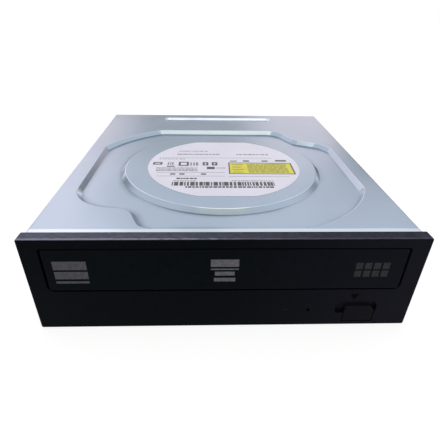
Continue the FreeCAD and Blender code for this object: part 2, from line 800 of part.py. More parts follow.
# Sliding disc tray: stepped round pockets over a keyhole window, rails at both sides and a rack below
def make_disc_tray():
    body = new_body("tray_moulding")
    half = "(tray_width / 2)"
    extrude(body, "XY", "tray_under", "tray_top", rectangle(f"-{half}", half, "tray_front", "tray_back"))
    cut(body, "XY", "tray_under", "tray_top - tray_skin",
        rectangle(f"-{half} + tray_skin", f"{half} - tray_skin", "tray_front + 1.2", "tray_back - tray_skin"),
        circle("0", "spindle_y", "disc_pocket + tray_skin - 0.4"))
    cut(body, "XY", "tray_under", "large_floor - tray_floor",
        circle("0", "spindle_y", "disc_pocket"), circle("0", "spindle_y", "small_disc_pocket + tray_skin"))
    cut(body, "XY", "tray_top", "large_floor", circle("0", "spindle_y", "disc_pocket"), draft="-12")
    cut(body, "XY", "large_floor", "tray_under + tray_floor", circle("0", "spindle_y", "small_disc_pocket"),
        draft="-12")
    window = "tray_window"
    cut(body, "XY", "tray_top", "rail_low - 1", outline(
        (f"-{window}", "spindle_y - tray_window", "tray_window - 0.5"),
        (window, "spindle_y - tray_window", "tray_window - 0.5"),
        (window, "spindle_y + tray_window_back", "3"),
        (f"-{window}", "spindle_y + tray_window_back", "3")))
    for side in ("-", ""):
        extrude(body, "XY", "tray_under", "rail_low",
                rectangle(f"{side}tray_width / 2", f"{side}(tray_width / 2 - rail_width)", "front_y + 1",
                          "tray_back"))
    return body


# Toothed rack under the left side of the tray, its teeth facing inwards, one moulding with the tray
def make_rack():
    module = value("rack_module")
    pitch = math.pi * module
    lean = math.tan(math.radians(value("pressure_angle")))
    gap = value("backlash") / 2
    tip = value("tooth_rise") * module - value("rack_x")
    root = -value("tooth_fall") * module - value("rack_x")
    start = value("front_y + 3")
    end = value("tray_back - 1")
    meshed = -value("drive_y")
    first = meshed - pitch * int((meshed - start) / pitch)
    half_tip = pitch / 4 - value("tooth_rise") * module * lean - gap
    half_root = pitch / 4 + value("tooth_fall") * module * lean - gap
    points = [FreeCAD.Vector(root, start, 0)]
    for tooth in range(int((end - first) / pitch)):
        middle = first + tooth * pitch
        for x, y in ((root, -half_root), (tip, -half_tip), (tip, half_tip), (root, half_root)):
            points.append(FreeCAD.Vector(x, middle + y, 0))
    points.append(FreeCAD.Vector(root, end, 0))
    points.append(FreeCAD.Vector(root - value("rack_bar"), end, 0))
    points.append(FreeCAD.Vector(root - value("rack_bar"), start, 0))
    low = value("rail_low + 0.6")
    face = Part.Face(Part.makePolygon(points + points[:1]))
    return new_feature("rack", face.extrude(FreeCAD.Vector(0, 0, value("tray_under") - low)), z=low)


# A spur gear about the origin with involute flanks, tooth 0 turned to the given angle
def gear_solid(teeth, module, low, high, turned):
    angle = math.radians(value("pressure_angle"))
    pitch_radius = module * teeth / 2
    base_radius = pitch_radius * math.cos(angle)
    root_radius = pitch_radius - value("tooth_fall") * module
    tip_radius = pitch_radius + value("tooth_rise") * module

    def involute(turn_angle):
        return math.tan(turn_angle) - turn_angle

    def half_angle(radius):
        at_radius = math.acos(min(1, base_radius / radius))
        thinned = value("backlash") / 2 / pitch_radius
        return math.pi / (2 * teeth) + involute(angle) - involute(at_radius) - thinned / 2

    foot = max(root_radius, base_radius)
    steps = [foot + (tip_radius - foot) * share for share in (0, 0.5, 1)]
    flank = [(root_radius, half_angle(foot))] if root_radius < base_radius else []
    flank += [(radius, half_angle(radius)) for radius in steps]
    points = []
    for tooth in range(teeth):
        middle = 2 * math.pi * tooth / teeth + turned
        for radius, half in flank:
            points.append((radius, middle - half))
        for radius, half in reversed(flank):
            points.append((radius, middle + half))
    corners = [FreeCAD.Vector(r * math.cos(a), r * math.sin(a), low) for r, a in points]
    face = Part.Face(Part.makePolygon(corners + corners[:1]))
    return face.extrude(FreeCAD.Vector(0, 0, high - low))


def ring_solid(outer, inner, low, high):
    ring = Part.makeCylinder(outer, high - low, FreeCAD.Vector(0, 0, low))
    return ring.cut(Part.makeCylinder(inner, high - low, FreeCAD.Vector(0, 0, low)))


def new_feature(label, shape, x="0", y="0", z="0"):
    feature = doc.addObject("Part::Feature", label)
    feature.Shape = shape
    feature.Placement = FreeCAD.Placement(FreeCAD.Vector(value(x), value(y), value(z)), FreeCAD.Rotation())
    return feature


# Two-step gear whose upper pinion drives the tray's rack
def make_drive_gear():
    half_tooth = math.pi / value("pinion_teeth")
    wheel = gear_solid(int(value("wheel_teeth")), value("gear_module"), value("wheel_low"),
                       value("wheel_high"), 0)
    pinion = gear_solid(int(value("pinion_teeth")), value("rack_module"), value("wheel_high"),
                        value("tray_under - pinion_gap"), half_tooth)
    bore = Part.makeCylinder(value("axle_radius + axle_gap"), value("tray_under"))
    return new_feature("drive_gear", wheel.fuse(pinion).cut(bore).removeSplitter(), "drive_x", "-drive_y")


# Belt pulley with a pinion on top that turns the wheel of the drive gear
def make_pulley_gear():
    bore = value("axle_radius + axle_gap")
    rim = value("pulley_radius")
    low = value("belt_low - belt_gap")
    high = value("belt_high + belt_gap")
    thick = value("rim_thick")
    solid = ring_solid(rim, bore, low - thick, low)
    solid = solid.fuse(ring_solid(value("pulley_radius - rim_height"), bore, low, high))
    solid = solid.fuse(ring_solid(rim, bore, high, high + thick))
    teeth = int(value("idler_teeth"))
    pinion = gear_solid(teeth, value("gear_module"), high + thick, value("wheel_high"), math.pi / teeth)
    pinion = pinion.cut(Part.makeCylinder(bore, value("wheel_high")))
    return new_feature("pulley_gear", solid.fuse(pinion).removeSplitter(), "idler_x", "-drive_y")


# Small turned pulley pressed on the motor's shaft
def make_motor_pulley():
    body = new_body("motor_pulley")
    rim = "(motor_pulley_radius + hub_step)"
    groove = "(motor_pulley_radius - hub_step)"
    low = "(belt_low - belt_gap)"
    high = "(belt_high + belt_gap)"
    turn(body, ("0", "motor_seat - 3"), ("0.75", "motor_seat - 3"), ("0.75", f"{low} - rim_thick"),
         (rim, f"{low} - rim_thick"), (rim, low), (groove, low), (groove, high), (rim, high),
         (rim, f"{high} + rim_thick"), ("0", f"{high} + rim_thick"))
    place(body, "-motor_x", "-motor_y")
    return body


# Rubber belt round both pulleys
def make_drive_belt():
    start = FreeCAD.Vector(value("idler_x"), value("-drive_y"), 0)
    end = FreeCAD.Vector(value("-motor_x"), value("-motor_y"), 0)
    span = end - start
    bearing = math.atan2(span.y, span.x)
    height = value("belt_height")

    def loop(extra):
        large = value("pulley_radius - rim_height + belt_gap") + extra
        small = value("motor_pulley_radius - hub_step + belt_gap") + extra
        lean = math.acos((large - small) / span.Length)
        wire = []
        for centre, radius, first, last in ((start, large, bearing + lean, bearing + 2 * math.pi - lean),
                                            (end, small, bearing - lean, bearing + lean)):
            spots = [centre + FreeCAD.Vector(radius * math.cos(a), radius * math.sin(a), 0)
                     for a in (first, (first + last) / 2, last)]
            wire.append(Part.Arc(*spots).toShape())
        a = wire[0].Vertexes[-1].Point
        b = wire[1].Vertexes[0].Point
        c = wire[1].Vertexes[-1].Point
        d = wire[0].Vertexes[0].Point
        edges = [wire[0], Part.makeLine(a, b), wire[1], Part.makeLine(c, d)]
        return Part.Face(Part.Wire(edges)).extrude(FreeCAD.Vector(0, 0, height))

    return new_feature("drive_belt", loop(value("belt_thick")).cut(loop(0)), z="belt_low")


def make_loading_motor():
    body = new_body("loading_motor")
    high = "(motor_seat - deck_thick)"
    extrude(body, "XY", "pan_floor + 0.4", high, circle("0", "0", "motor_radius"))
    for low, up in (("-motor_radius - 1", "-motor_flat"), ("motor_flat", "motor_radius + 1")):
        cut(body, "XY", f"{high} + 1", "pan_floor",
            rectangle("-motor_radius - 1", "motor_radius + 1", low, up))
    extrude(body, "XY", high, "motor_seat - 0.2", circle("0", "0", "3"))
    cut(body, "XY", "motor_seat", "motor_seat - 3.3", circle("0", "0", "0.8"))
    place(body, "-motor_x", "-motor_y")
    return body


# Slotted bar that lifts the traverse as it slides across the front
def make_cam_slider():
    body = new_body("cam_slider")
    left = "(-cam_pin_x - cam_travel - cam_end)"
    right = "(cam_pin_x + cam_end)"
    wall_front = "(-cam_middle - cam_wall / 2)"
    wall_back = "(-cam_middle + cam_wall / 2)"
    extrude(body, "XY", "cam_low", "cam_high", rectangle(left, right, wall_front, wall_back))
    extrude(body, "XY", "deck_top + seat_gap", "deck_top + seat_gap + 1.5",
            rectangle(left, right, "-cam_bay_front - 2.4", wall_back))
    low = "(cam_pin_z - cam_rise)"
    for pin in ("-cam_pin_x", "cam_pin_x"):
        cut(body, "XZ", f"{wall_back} + 1", f"{wall_front} - 1",
            slot(pin, low, f"{pin} - cam_travel", "cam_pin_z", "cam_pin_radius + 0.25"))
    return body


# Moulded chassis of the loader
def make_main_frame():
    body = new_body("main_frame")
    inner = "(frame_half - frame_wall)"
    front = "-frame_front"
    back = "frame_back"
    extrude(body, "XY", "deck_level", "deck_top", rectangle("-frame_half", "frame_half", front, back))
    for side in ("-", ""):
        extrude(body, "XY", "pan_floor + seat_gap", "frame_top",
                rectangle(f"{side}frame_half", f"{side}{inner}", front, back))
        extrude(body, "XY", "ledge_top - 1.6", "ledge_top",
                rectangle(f"{side}({inner} + 0.2)", f"{side}({inner} - ledge_width)", front, f"{back} - 2"))
        for middle in ("spindle_y - 54", "spindle_y + 12", "spindle_y + 72"):
            extrude(body, "XY", "tray_top + seat_gap", "tray_top + seat_gap + 1.5",
                    rectangle(f"{side}({inner} + 0.2)", f"{side}({inner} - 3.4)", f"{middle} - 7",
                              f"{middle} + 7"))
    extrude(body, "XY", "deck_level", "deck_level + 10",
            rectangle(f"-{inner}", inner, front, f"{front} + 1.5"))
    extrude(body, "XY", "deck_level", "deck_level + 10", rectangle(f"-{inner}", inner, f"{back} - 1.5", back))
    extrude(body, "XY", "deck_top", "motor_seat",
            rectangle("-motor_x - 12", "12 - motor_x", front, "-cam_bay_front - 2.7"))
    posts = [circle(x, y, "post_radius") for x, y in post_places()]
    extrude(body, "XY", "deck_level", "pan_floor + screw_sink", *posts)
    stays = [circle(x, y, "2") for x in ("-board_half + 4", "board_half - 4")
             for y in ("-board_front + 8", "board_back - 16")]
    stays += [circle(x, "front_y + 4.5", "1.6") for x in ("lamp_middle - 5", "button_middle - 9.9")]
    extrude(body, "XY", "deck_level", "board_top", *stays)
    for x, high in (("drive_x", "tray_under - 0.8"), ("idler_x", "wheel_high + 0.4")):
        extrude(body, "XY", "deck_top", high, circle(x, "-drive_y", "axle_radius"))
    extrude(body, "XY", "deck_top", "wheel_low - 0.1", circle("drive_x", "-drive_y", "axle_radius + 1"))
    extrude(body, "XY", "deck_top", "belt_low - 0.9", circle("idler_x", "-drive_y", "axle_radius + 1"))
    for side in ("-", ""):
        extrude(body, "XY", "deck_top", "pivot_z + 3",
                rectangle(f"{side}(lift_half + 3.5)", f"{side}(lift_half + 7)", "pivot_y - 5", "pivot_y + 5"))
    cut(body, "XY", "deck_top + 1", "deck_level - 1",
        rectangle("-window_half", "window_half", "-window_front", "window_back", "3"))
    cut(body, "XY", "deck_top + 0.1", "deck_level - 1",
        rectangle("-cam_bay_half", "cam_bay_half", "-cam_bay_front", "-window_front + 3.5", "1"))
    seat = "pivot_radius + 0.05"
    cut(body, "YZ", "-lift_half - 8", "lift_half + 8", circle("pivot_y", "pivot_z", seat))
    cut(body, "YZ", "-lift_half - 8", "lift_half + 8",
        rectangle(f"pivot_y - {seat}", f"pivot_y + {seat}", "pivot_z", "pivot_z + 4"))
    well = "(motor_radius + motor_gap)"
    flat = "(motor_flat + motor_gap)"
    cut(body, "XY", "deck_level - 1", "motor_seat - deck_thick",
        rectangle(f"-motor_x - {well}", f"-motor_x + {well}", f"-motor_y - {flat}", f"-motor_y + {flat}",
                  "2.5"))
    cut(body, "XY", "motor_seat + 1", "deck_level", circle("-motor_x", "-motor_y", "3.2"))
    cut(body, "XY", "deck_top + 12", "deck_level - 7",
        rectangle("-plug_left - 2", "2 - plug_right", "window_back - 1", f"{back} + 1"))
    holes = [circle(x, y, "screw_radius + axle_gap") for x, y in post_places()]
    cut(body, "XY", "pan_floor", "deck_top + 1", *holes)
    return body


# Lift frame: a ring hinged on two rear pins, with two pins at the front for the cam slots
def make_lift_frame():
    body = new_body("lift_frame")
    low = "lift_low"
    high = "(lift_low + lift_thick)"
    inner = "(lift_half - lift_bar)"
    extrude(body, "XY", low, high, rectangle("-lift_half", "lift_half", "-lift_front", "lift_back", "3"))
    cut(body, "XY", f"{high} + 1", f"{low} - 1",
        rectangle(f"-{inner}", inner, "-lift_front + lift_bar", "lift_back - lift_bar", "2"))
    for side in ("-", ""):
        extrude(body, "YZ", f"{side}(lift_half - 3)", f"{side}(lift_half + 6.5)",
                circle("pivot_y", "pivot_z", "pivot_radius"))
        extrude(body, "XZ", "-lift_front + 3", "-cam_middle - cam_wall / 2 - 0.6",
                circle(f"{side}cam_pin_x", "cam_pin_z", "cam_pin_radius"))
    extrude(body, "XY", high, f"{high} + 5.6", *[circle(x, y, "damper_post") for x, y in damper_places()])
    place_lowered(body)
    return body


def damper_places():
    return [(x, y) for y in ("-damper_front", "damper_back") for x in ("-damper_x", "damper_x")]


# Rubber spools that carry the traverse plate on the posts of the lift frame
def make_dampers():
    dampers = []
    low = "(lift_low + lift_thick)"
    for number, (x, y) in enumerate(damper_places(), start=1):
        body = new_body(f"damper_{number}")
        inner = "damper_post + axle_gap"
        groove = "damper_radius - 1"
        plate = f"(plate_low - {low})"
        turn(body, (inner, "0"), ("damper_radius - 0.4", "0"), ("damper_radius", "0.4"),
             ("damper_radius", plate),
             (groove, plate), (groove, f"{plate} + plate_thick"), ("damper_radius", f"{plate} + plate_thick"),
             ("damper_radius", f"{plate} + plate_thick + 1"),
             ("damper_radius - 0.4", f"{plate} + plate_thick + 1.4"), (inner, f"{plate} + plate_thick + 1.4"))
        place_lowered(body, x, y, low)
        dampers.append(body)
    return dampers


# Steel plate that carries the spindle, the rods and the sled motor
def make_traverse_plate():
    body = new_body("traverse_plate")
    low = "plate_low"
    high = "plate_top"
    extrude(body, "XY", low, high,
            rectangle("-lift_half - 1", "lift_half + 1", "-lift_front + 3", "lift_back - 2", "3"))
    extrude(body, "XY", high, f"{high} + 2.2",
            rectangle("-lift_half + 6", "lift_half - 14", "-lift_front + 3", "-lift_front + 4.2"))
    cut(body, "XY", f"{high} + 1", f"{low} - 1",
        rectangle("-rod_x - 4", "rod_x + 4", "pickup_front - 1.5", "pickup_back + 1", "2"))
    cut(body, "XY", f"{high} + 1", f"{low} - 1",
        rectangle("screw_x - 5.2", "screw_x + 3.5", "spindle_y - sled_motor_ahead - 1", "screw_back - 3.6",
                  "1"))
    cut(body, "XY", f"{high} + 1", f"{low} - 1",
        rectangle("screw_x - 1", "screw_x + 5.2", "spindle_y - sled_motor_ahead - 1",
                  "spindle_y + sled_motor_behind + 1", "1"))
    cut(body, "XY", f"{high} + 1", f"{low} - 1",
        rectangle("screw_x - 1.6", "screw_x + 1.6", "screw_back - 5", "screw_back + 0.5"))
    holes = [circle(x, y, "damper_radius - 1 + axle_gap") for x, y in damper_places()]
    holes.append(circle("0", "spindle_y", "4"))
    cut(body, "XY", f"{high} + 1", f"{low} - 1", *holes)
    place_lowered(body)
    return body


# Two polished rods along which the pickup slides, each in a holder at both ends
def make_rods():
    pieces = []
    for name, x in (("main_rod", "rod_x"), ("side_rod", "-rod_x")):
        body = new_body(name)
        extrude(body, "XZ", "-rod_front", "rod_back", circle(x, "rod_z", "rod_radius"))
        place_lowered(body)
        pieces.append(body)
    ends = (("-rod_front - 1", "-rod_front + 3.4"), ("rod_back - 4", "rod_back + 0.8"))
    places = [(x, end) for x in ("-rod_x", "rod_x") for end in ends]
    for number, (x, (front, back)) in enumerate(places, start=1):
        body = new_body(f"rod_holder_{number}")
        extrude(body, "XY", "plate_top", "rod_z + holder_rise",
                rectangle(f"{x} - holder_half", f"{x} + holder_half", front, back))
        cut(body, "XZ", "-rod_front", "rod_back", circle(x, "rod_z", "rod_radius + axle_gap"))
        place_lowered(body)
        pieces.append(body)
    return pieces


# Stepper motor with a lead screw on its shaft, and the bearing of the screw's far end
def make_sled_drive():
    motor = new_body("sled_motor")
    end = "(spindle_y + sled_motor_behind)"
    extrude(motor, "XZ", "spindle_y - sled_motor_ahead", end,
            circle("screw_x", "screw_z", "sled_motor_radius"))
    cut(motor, "XZ", f"{end} + 1", f"{end} - 3.5",
        circle("screw_x", "screw_z", "lead_screw_radius + axle_gap"))
    bearing = new_body("screw_bearing")
    extrude(bearing, "XY", "plate_top", "screw_z + holder_rise",
            rectangle("screw_x - holder_half", "screw_x + holder_half", "screw_back - 3.2",
                      "screw_back + 0.8"))
    cut(bearing, "XZ", "screw_back - 4", "screw_back",
        circle("screw_x", "screw_z", "lead_screw_radius + axle_gap"))
    screw = new_body("lead_screw")
    extrude(screw, "XZ", f"{end} - 3", "screw_back - seat_gap",
            circle("screw_x", "screw_z", "lead_screw_radius"))
    for body in (motor, bearing, screw):
        place_lowered(body)
    return [motor, bearing, screw]


# Brushless spindle motor with the turntable on its rotor
def make_spindle():
    base = new_body("spindle_base")
    bore = "shaft_radius + axle_gap"
    turn(base, (bore, "plate_top - 2"), ("3.8", "plate_top - 2"), ("3.8", "plate_top"),
         ("rotor_radius + 0.5", "plate_top"), ("rotor_radius + 0.5", "plate_top + 0.5"),
         ("3", "plate_top + 0.5"), ("3", "plate_top + 4.5"), (bore, "plate_top + 4.5"))
    stator = new_body("spindle_stator")
    turn(stator, ("3.05", "plate_top + 0.5"), ("rotor_radius - 1.6", "plate_top + 0.9"),
         ("rotor_radius - 1.6", "plate_top + 4.5"), ("3.05", "plate_top + 4.5"))
    can = new_body("rotor_can")
    can_top = "(disc_seat - 2.9)"
    turn(can, ("0", "plate_top - 1.8"), ("shaft_radius", "plate_top - 1.8"),
         ("shaft_radius", f"{can_top} - 1"), ("rotor_radius - 0.8", f"{can_top} - 1"),
         ("rotor_radius - 0.8", "plate_top + 0.9"), ("rotor_radius", "plate_top + 0.9"),
         ("rotor_radius", f"{can_top} - 0.6"), ("rotor_radius - 0.6", can_top), ("0", can_top))
    turntable = new_body("turntable")
    rest = "(disc_seat - 0.5)"
    turn(turntable, ("0", can_top), ("turntable_radius", can_top), ("turntable_radius", rest),
         ("hub_radius", rest), ("hub_radius", "disc_seat + 0.8"), ("hub_radius - 1.6", "cone_top"),
         ("3.6", "cone_top"), ("3.6", "cone_top - 1.2"), ("0", "cone_top - 1.2"))
    grip = new_body("grip_ring")
    turn(grip, ("turntable_radius - 3.2", rest), ("turntable_radius - 0.2", rest),
         ("turntable_radius - 0.2", "disc_seat"), ("turntable_radius - 3.2", "disc_seat"))
    pieces = [base, stator, can, turntable, grip]
    for body in pieces:
        place_lowered(body, "0", "spindle_y")
    return pieces


# Laser pickup: a cast sled on the rods, its steel lid, and the lens on its actuator
def make_pickup():
    sled = new_body("pickup_sled")
    front = "pickup_front"
    back = "(pickup_front + pickup_length)"
    extrude(sled, "XY", "pickup_low", "pickup_high - 0.8", outline(
        ("-rod_x + 3", front, "3"), ("rod_x - 3", front, "3"), ("rod_x - 3", back, "1"),
        ("-rod_x + 3", back, "1")))
    extrude(sled, "XY", "rod_z - 2.9", "rod_z + 2.4", rectangle("rod_x - 4", "rod_x + 2.8", front, back))
    extrude(sled, "XY", "rod_z - 2.6", "rod_z + 2.4",
            rectangle("-rod_x - 2.4", "-rod_x + 4", f"{front} + 8", f"{front} + 16"))
    extrude(sled, "XY", "rod_z - 2.9", "screw_z + 0.8",
            rectangle("rod_x + 2", "screw_x - lead_screw_radius - 0.1", f"{front} + 6", f"{front} + 14"))
    cut(sled, "XZ", f"{back} + 1", f"{front} - 1", circle("rod_x", "rod_z", "rod_radius + axle_gap"))
    cut(sled, "XZ", f"{back} + 1", f"{front} - 1",
        rectangle("-rod_x - 3", "-rod_x + 1.8", "rod_z - rod_radius - axle_gap",
                  "rod_z + rod_radius + axle_gap"))
    lid = new_body("pickup_lid")
    extrude(lid, "XY", "pickup_high - 0.8", "pickup_high", outline(
        ("-rod_x + 4.5", f"{front} + 0.6", "3"), ("rod_x - 4.5", f"{front} + 0.6", "3"),
        ("rod_x - 4.5", f"{back} - 1", "1"), ("-rod_x + 4.5", f"{back} - 1", "1")),
        rectangle("-8.5", "8.5", "lens_y - 5.3", "lens_y + 5.3"))
    holder = new_body("lens_holder")
    extrude(holder, "XY", "pickup_high - 0.8", "lens_top - 1",
            rectangle("-7.5", "7.5", "lens_y - 4.3", "lens_y + 4.3", "1"))
    extrude(holder, "XY", "lens_top - 1", "lens_top - 0.3", circle("0", "lens_y", "3.4"))
    cut(holder, "XY", "lens_top", "lens_top - 1.5", circle("0", "lens_y", "lens_radius + axle_gap"))
    lens = new_body("pickup_lens")
    turn(lens, ("0", "lens_top - 1.5"), ("lens_radius", "lens_top - 1.5"), ("lens_radius", "lens_top - 0.6"),
         ("lens_radius * 0.6", "lens_top - 0.1"), ("0", "lens_top"))
    for body in (sled, lid, holder):
        place_lowered(body)
    place_lowered(lens, "0", "lens_y")
    return [sled, lid, holder, lens]


# Sheet bridge over the tray with the clamper hanging in its round hole
def make_clamper():
    bridge = new_body("clamper_bridge")
    high = "(frame_top + bridge_sheet)"
    extrude(bridge, "XY", "frame_top", high, rectangle(
        "-frame_half", "frame_half", "spindle_y - bridge_half_depth", "spindle_y + bridge_half_depth", "2"))
    cut(bridge, "XY", f"{high} + 1", "frame_top - 1", circle("0", "spindle_y", "clamp_hole"))
    disc = new_body("clamper_disc")
    seat = f"({high} + 0.1)"
    turn(disc, ("0", "clamp_under + 1.8"), ("hub_radius + 1", "clamp_under + 1.8"),
         ("hub_radius + 1", "clamp_under"), ("clamp_hub", "clamp_under"), ("clamp_hub", seat),
         ("clamp_flange", seat), ("clamp_flange", f"{seat} + 1.2"), ("9.7", f"{seat} + 1.2"),
         ("9.7", f"{seat} - 0.5"), ("0", f"{seat} - 0.5"))
    magnet = new_body("clamper_magnet")
    turn(magnet, ("4", f"{seat} - 0.5"), ("9.6", f"{seat} - 0.5"), ("9.6", f"{seat} + 0.9"),
         ("4", f"{seat} + 0.9"))
    for body in (disc, magnet):
        place(body, "0", "spindle_y")
    return [bridge, disc, magnet]


# Boards, chips, switch, lamp and the combined data and power plug
def make_electronics():
    main = new_body("main_board")
    extrude(main, "XY", "board_level", "board_top",
            rectangle("-board_half", "board_half", "-board_front", "board_back", "1"))
    front = new_body("front_board")
    near = "(front_y + front_board_gap)"
    extrude(front, "XY", "board_level", "board_top",
            rectangle("lamp_middle - front_board_before", "button_middle + front_board_past", near,
                      f"{near} + front_board_length", "0.5"))
    chips = [make_chip("main_chip", "main_chip_x"), make_chip("driver_chip", "-driver_chip_x"),
             make_chip("memory_chip", "memory_chip_x")]
    switch = new_body("eject_switch")
    tip = "(front_y + 3 + button_travel + 0.2)"
    extrude(switch, "XY", "board_top", "board_top + switch_height",
            rectangle("button_middle - switch_half", "button_middle + switch_half", f"{tip} + 0.8",
                      f"{tip} + 0.8 + switch_depth"))
    extrude(switch, "XZ", f"{tip} + 0.9", tip,
            circle("button_middle", "board_top + switch_height / 2", "1.2"))
    lamp = new_body("lamp")
    extrude(lamp, "XY", "board_top", "lamp_level + 1.2",
            rectangle("lamp_middle - lamp_half", "lamp_middle + lamp_half", "front_y + 2.8",
                      "front_y + 2.8 + lamp_depth"))
    return [main, front, *chips, switch, lamp, make_plug()]


def make_chip(name, x):
    chip = new_body(name)
    y = f"(board_back - {name}_ahead)"
    half = f"{name}_half"
    extrude(chip, "XY", "board_top", "board_top + chip_thick",
            rectangle(f"{x} - {half}", f"{x} + {half}", f"{y} - {half}", f"{y} + {half}"))
    return chip


# Two contact tongues with their keys between the cheeks of one moulded block
def make_plug():
    plug = new_body("sata_connector")
    back = "(rear_y - plug_depth)"
    end = "(rear_y - plug_inset)"
    extrude(plug, "XY", "board_top", "plug_high",
            rectangle("-plug_left", "-plug_right", f"{back} - plug_block", back))
    level = "(board_top + tongue_rise)"
    power = "(power_start - plug_left)"
    data = "(-plug_right - data_start - data_width)"
    for left, width in ((power, "power_width"), (data, "data_width")):
        extrude(plug, "XZ", back, end, rectangle(left, f"{left} + {width}", level, f"{level} + tongue_thick"))
        extrude(plug, "XZ", back, end, rectangle(left, f"{left} + plug_wall", f"{level} - tongue_key", level))
    for left in ("-plug_left", "-plug_right - plug_wall"):
        extrude(plug, "XZ", back, end, rectangle(left, f"{left} + plug_wall", "board_top", "plug_high"))
    return plug


# Round paper label cut straight at the front and the back
def make_label():
    body = new_body("label")
    high = "(plateau_top + label_thick)"
    extrude(body, "XY", "plateau_top", high, circle("label_x", "label_y", "label_radius"))
    side = "label_radius + 1"
    for near, far in (("label_back", "label_radius + 1"), ("-label_radius - 1", "-label_front")):
        cut(body, "XY", f"{high} + 1", "plateau_top - 1",
            rectangle(f"label_x - {side}", f"label_x + {side}", f"label_y + {near}", f"label_y + {far}"))
    return body


# The rack and the tray are one moulding
def make_tray_with_rack():
    tray = make_disc_tray()
    rack = make_rack()
    whole = doc.addObject("Part::Fuse", "disc_tray")
    whole.Base = tray
    whole.Tool = rack
    whole.Refine = True
    doc.recompute()
    return whole


pieces = [make_top_cover(), make_bottom_cover(), *make_cover_screws(), make_front_bezel(),
          make_eject_button(),
          make_light_pipe(), make_tray_door(), make_tray_with_rack(), make_label(), make_main_frame(),
          *make_clamper(), make_lift_frame(), *make_dampers(), make_traverse_plate(), *make_rods(),
          *make_sled_drive(), *make_spindle(), *make_pickup(), make_loading_motor(), make_motor_pulley(),
          make_drive_belt(), make_pulley_gear(), make_drive_gear(), make_cam_slider(), *make_electronics()]
doc.recompute()

for item in doc.Objects:
    if "Invalid" in item.State or "Error" in item.State:
        raise RuntimeError(f"{item.Label} failed: {item.State}")
for piece in pieces:
    if piece.Shape.isNull() or not piece.Shape.isValid():
        raise RuntimeError(f"{piece.Label} has no valid shape")

os.makedirs("parts", exist_ok=True)
for piece in pieces:
    piece.Shape.exportStep(f"parts/{piece.Label}.step")
    print(piece.Label, len(piece.Shape.Solids), round(piece.Shape.Volume), piece.Shape.BoundBox)
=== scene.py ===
import math
import random

import bmesh
import bpy
from mathutils import Matrix, Vector


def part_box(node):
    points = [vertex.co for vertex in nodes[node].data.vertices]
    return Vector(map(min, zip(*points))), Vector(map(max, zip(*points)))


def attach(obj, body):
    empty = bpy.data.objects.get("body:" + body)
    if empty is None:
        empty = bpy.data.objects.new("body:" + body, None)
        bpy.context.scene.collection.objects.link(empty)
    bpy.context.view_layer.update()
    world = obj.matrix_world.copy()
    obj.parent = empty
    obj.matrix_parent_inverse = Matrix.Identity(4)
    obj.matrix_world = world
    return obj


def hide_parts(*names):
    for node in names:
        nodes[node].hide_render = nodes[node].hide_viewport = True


# Half-height internal disc drive, closed, on a white table. X runs across the front, Y to the rear, Z up.
# Blender works in metres. The sizes of the pieces made here are written in millimetres.
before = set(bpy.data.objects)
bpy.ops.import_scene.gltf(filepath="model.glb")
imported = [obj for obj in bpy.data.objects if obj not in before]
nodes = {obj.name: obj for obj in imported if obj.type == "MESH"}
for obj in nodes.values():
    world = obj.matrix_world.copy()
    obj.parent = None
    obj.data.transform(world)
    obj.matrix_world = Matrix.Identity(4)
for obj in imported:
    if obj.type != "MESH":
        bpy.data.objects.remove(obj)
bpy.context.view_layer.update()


# Camera: close above the front edge and a little left of the middle, looking down across the cover.
# The shift only centres the drive as the photograph is cut.
lens = bpy.data.cameras.new("camera")
lens.lens = 30.75
lens.sensor_width = 36.0
lens.shift_x = 0.0041
lens.shift_y = 0.0416
lens.clip_start = 0.01
camera = bpy.data.objects.new("camera", lens)
camera_axes = Matrix(((0.9994, -0.0311, 0.0163), (0.0029, 0.5356, 0.8445), (-0.0350, -0.8439, 0.5353)))
camera.matrix_world = Matrix.Translation((-0.0082, -0.1959, 0.1128)) @ camera_axes.transposed().to_4x4()
bpy.context.scene.collection.objects.link(camera)
bpy.context.scene.camera = camera
bpy.context.scene.view_settings.view_transform = "Standard"


# Studio room: an even pale surround that shows white to the lens.
# In gloss and metal it is bright at the horizon and high up. It is dimmer between, most so at the right, and
# over the front, and three soft rosy patches at the left and ahead stand for far windows.
def add_node(tree, kind, **settings):
    node = tree.nodes.new(kind)
    for name, setting in settings.items():
        if name in node.inputs:
            node.inputs[name].default_value = setting
        else:
            setattr(node, name, setting)
    return node


# The first output of a new node, fed in order by numbers, colours or outputs of other nodes
def add_fed(tree, kind, *sources, **settings):
    node = add_node(tree, kind, **settings)
    for slot, source in zip(node.inputs, sources):
        if isinstance(source, bpy.types.NodeSocket):
            tree.links.new(source, slot)
        else:
            slot.default_value = source
    return node.outputs[0]


# A smooth step from one level to another while the source goes from start to end
def add_range(tree, source, start, end, first, last):
    return add_fed(tree, "ShaderNodeMapRange", source, start, end, first, last,
                   interpolation_type="SMOOTHSTEP")


def add_math(tree, operation, first, second):
    return add_fed(tree, "ShaderNodeMath", first, second, operation=operation)


def split(tree, vector):
    parts = add_node(tree, "ShaderNodeSeparateXYZ")
    tree.links.new(vector, parts.inputs[0])
    return parts.outputs


# Brightness of a round soft patch of the room, from its bearing, height and half width in degrees
def soft_patch(tree, direction, bearing, height, half_width, brightness):
    bearing, height, half_width = (math.radians(angle) for angle in (bearing, height, half_width))
    flat = math.cos(height)
    towards = add_node(tree, "ShaderNodeVectorMath", operation="DOT_PRODUCT")
    tree.links.new(direction, towards.inputs[0])
    towards.inputs[1].default_value = (math.sin(bearing) * flat, math.cos(bearing) * flat, math.sin(height))
    return add_range(tree, towards.outputs["Value"], math.cos(half_width), 1.0, 0.0, brightness)


